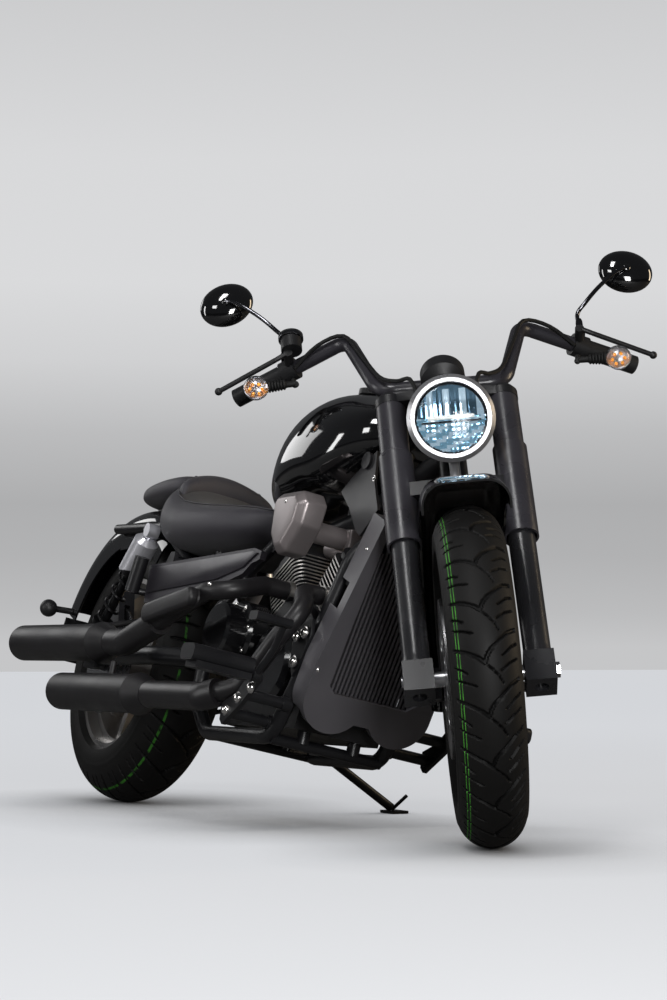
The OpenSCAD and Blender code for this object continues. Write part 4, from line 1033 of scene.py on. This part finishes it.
# %% Mirror shells
OVAL = 49 / 61
glass_back = finish("mirror_glass", (0.75, 0.78, 0.8), 0.03, metal=1.0, grain=100, bump=0.0, drift=0.01,
                    dust=1.05)
dark_chrome = finish("dark_chrome", (0.1, 0.1, 0.11), 0.16, metal=1.0, grain=800, bump=0.01)
shells, glasses, stems = [], [], []
for side in (-1, 1):
    flip = Matrix.Scale(side, 4, (0, 1, 0))
    shell_at = (flip @ Matrix.Translation((-258, 446, 1192)) @ Matrix.Rotation(math.radians(110), 4, "Y")
                @ Matrix.Rotation(math.radians(-20), 4, "Z"))
    oval = shell_at @ Matrix.Diagonal((OVAL, 1, 1, 1))
    shell = turned([(0, 19), (14, 18.4), (28, 16.4), (42, 12.2), (52, 6.6), (58.4, 0), (61, -5), (60.4, -8),
                    (57.4, -8), (57, -7.2), (0, -7.2)])
    shell.matrix_world = oval
    mirror = turned([(0, -7.6), (56.4, -7.6), (56.4, -7.0), (0, -7.0)])
    mirror.matrix_world = oval
    boss = turned([(0, 24), (6, 24), (8.5, 22), (11, 17), (11, 12), (0, 12)], 24)
    boss.matrix_world = shell_at
    foot = Vector((-250, side * 324, 1010.2))
    hold = shell_at @ Vector((0, 0, 20))
    stem = tube([foot + Vector((0, 0, 30)), foot + Vector((0, 0, 62)), (-240, side * 342, 1092),
                 (-232, side * 388, 1140), hold + Vector((6, -side * 14, -8)), hold], 4.8)
    base = turned([(0, 0), (10.5, 0), (10.5, 16), (8.4, 18), (8.4, 38), (6, 46), (0, 46)], 6)
    base.matrix_world = Matrix.Translation(foot)
    shells += [shell, boss]
    glasses.append(mirror)
    stems += [stem, base]


def apply_place(objs):
    for o in objs:
        set_place(o)
        tidy_mesh(o)


for group in (shells, glasses, stems):
    apply_place(group)
shell_pair = seat_piece(join(shells), "mirror_shells", "fork", FORK, PAINT["gloss_black"], 50)
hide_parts("mirrors")
seat_piece(join(glasses), "mirror_glasses", "fork", FORK, glass_back)
seat_piece(join(stems), "mirror_stems", "fork", FORK, dark_chrome)

# %% [markdown]
# ## Bolts
# Dome bolts with a washer hold the covers, and they are the brightest points of a black bike. One bolt is
# turned and copied to each place, with its own mesh, and all copies on a body are joined.

# %% Dome bolts
def dome_bolt(radius, height):
    return turned([(0, height), (radius * 0.35, height * 0.96), (radius * 0.72, height * 0.72),
                   (radius * 0.95, height * 0.36), (radius, height * 0.1), (radius * 1.28, height * 0.08),
                   (radius * 1.28, -height * 0.15), (0, -height * 0.15)], 20)


def bolt_set(name, spots, radius, height):
    """Chassis bolts at (position, direction) spots in the bike's place"""
    one = dome_bolt(radius, height)
    copies = [copy_at(one, along(axis, spot)) for spot, axis in spots]
    bpy.data.objects.remove(one)
    for c in copies:
        set_place(c)
    seat_piece(join(copies), name, "chassis", BIKE, PAINT["bolt_chrome"], 50)


spots = []
for side in (-1, 1):
    spots += [((x, side * 157, z), (0, side, 0)) for x, z in ((1080, 366), (1114, 373), (1090, 313))]
    spots += [((x, side * 246, z), (0, side, 0)) for x, z in ((1107, 240), (1056, 218), (1011, 192))]
bolt_set("frame_bolts", spots, 10, 9)
# eight round the clutch cover, and one on the pipe shield
COVER_X, COVER_Z, COVER_R, COVER_TURN = 772, 372, 67, 0.24
spots = [((COVER_X + COVER_R * math.cos(k * math.pi / 4 + COVER_TURN), -154.5,
           COVER_Z + COVER_R * math.sin(k * math.pi / 4 + COVER_TURN)), (0, -1, 0)) for k in range(8)]
spots += [((862, -273, 452), (0.35, -0.83, 0.43))]
for side in (-1, 1):
    spots += [((1237, side * 119, 552), (0.04, side, 0.1)), ((1170, side * 139, 300), (0, side, 0)),
              ((1162, side * 98, 709), (0, side, 0)), ((1012, side * 210, 640), (0, side, 0))]
bolt_set("small_bolts", spots, 4.6, 4)

# %% [markdown]
# ## Front signals and reservoir cap
# Each signal is a clear ball with a ring of amber lamps in a silver bowl, on a ribbed rubber boot. The fluid
# reservoir on the right bar gets a turned cap with two screws.

# %% Signals
amber = shining(new_material("amber_lamp", (0.9, 0.35, 0.05), 0.3), (1.0, 0.4, 0.06), 0.5)
clear_lens = new_material("clear_lens", (0.97, 0.97, 0.98), 0.03, clear=1.0)
LAMPS, LAMP_RING, RIBS, RIB_PITCH = 6, 13, 6, 6.4
bowls, lenses, lamps, boots = [], [], [], []
for side in (-1, 1):
    centre = Vector((-205, side * 390, 903))
    face = along((1, -side * 0.12, -0.16), centre)
    bowl = turned([(0, -27), (12, -24.5), (21, -17), (26, -6), (27, 0), (25, 1), (20, -6), (0, -9)], 36)
    bowl.matrix_world = face
    lens = turned([(0, 27), (10, 25.4), (19, 19.4), (25, 10), (27.4, 1), (26, 1), (23.6, 9.4), (18, 18),
                   (9, 24), (0, 25.6)], 36)
    lens.matrix_world = face
    for k in range(LAMPS):
        turn = k * math.pi / 3
        lamp = start("uv_sphere", radius=3.6, segments=16, ring_count=10)
        spot = (LAMP_RING * math.cos(turn), LAMP_RING * math.sin(turn), -4)
        lamp.matrix_world = face @ Matrix.Translation(spot)
        lamps.append(lamp)
    ribs = [(0, 26)]
    for k in range(RIBS):
        out = k * RIB_PITCH
        ribs += [(13.5 - k * 0.5, 27 + out), (13.5 - k * 0.5, 30 + out), (10 - k * 0.3, 31.4 + out)]
    ribs += [(7, 66), (7, 84), (0, 84)]
    boot = turned(ribs, 28)
    boot.matrix_world = along((-0.03, -side, 0.06), centre)
    bowls.append(bowl)
    lenses.append(lens)
    stalk = tube([(-209, side * 304, 909), (-232, side * 304, 925), (-254, side * 309, 944),
                  (-256, side * 310, 958)], 6)
    boots += [boot, stalk]
for group in (bowls, lenses, lamps, boots):
    apply_place(group)
bowl_pair = seat_piece(join(bowls), "signal_bowls", "fork", FORK, PAINT["shock_silver"], 50)
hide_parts("front_signals")
seat_piece(join(lenses), "signal_lenses", "fork", FORK, clear_lens, 60)
seat_piece(join(lamps), "signal_lamps", "fork", FORK, amber, 60)
seat_piece(join(boots), "signal_boots", "fork", FORK, PAINT["belt_rubber"], 40)

# %% Reservoir cap
cap = turned([(0, 12.8), (20, 12.8), (25, 11.6), (27.4, 8), (27.4, 1), (25.4, -0.6), (0, -0.6)], 40)
screws = [dome_bolt(3, 2), dome_bolt(3, 2)]
for x, screw in zip((-15, 15), screws):
    screw.matrix_world = Matrix.Translation((x, 0, 12.8))
cap = join([cap] + screws)
cap.data.transform(cap.matrix_world)
cap.matrix_world = Matrix.Translation((-202.5, -307.9, 1025.6))
seat_piece(cap, "reservoir_cap", "fork", FORK, dark_chrome, 40)

# %% [markdown]
# ## Shield pad and side panels
# The pad on the upper pipe has a soft pill shape, and the panel under the seat has a raised face with a
# bevelled edge. Both are outlines, extruded and bevelled.

# %% Pad and panels
PILL_R = 21.6
pill_line = []
for (x, z), first in (((635, 387), 101), ((835, 418), -79)):
    for k in range(13):
        turn = math.radians(first + 15 * k)
        pill_line.append((x + PILL_R * math.cos(turn), z + PILL_R * math.sin(turn)))
pill = outline_piece(pill_line, -285.4, -311)
soften(pill, 9, 5, 50)
seat_piece(pill, "shield_pad", "chassis", BIKE, PAINT["exhaust_black"], 50)
PANEL = [(268, 531), (796, 553), (826, 548), (764, 517), (640, 494), (268, 470)]
panels = []
for side in (-1, 1):
    panels.append(outline_piece(PANEL, side * 159, side * 164))
    soften(panels[-1], 4, 2, 50)
seat_piece(join(panels), "side_panels", "chassis", BIKE, PAINT["satin_violet"], 30)
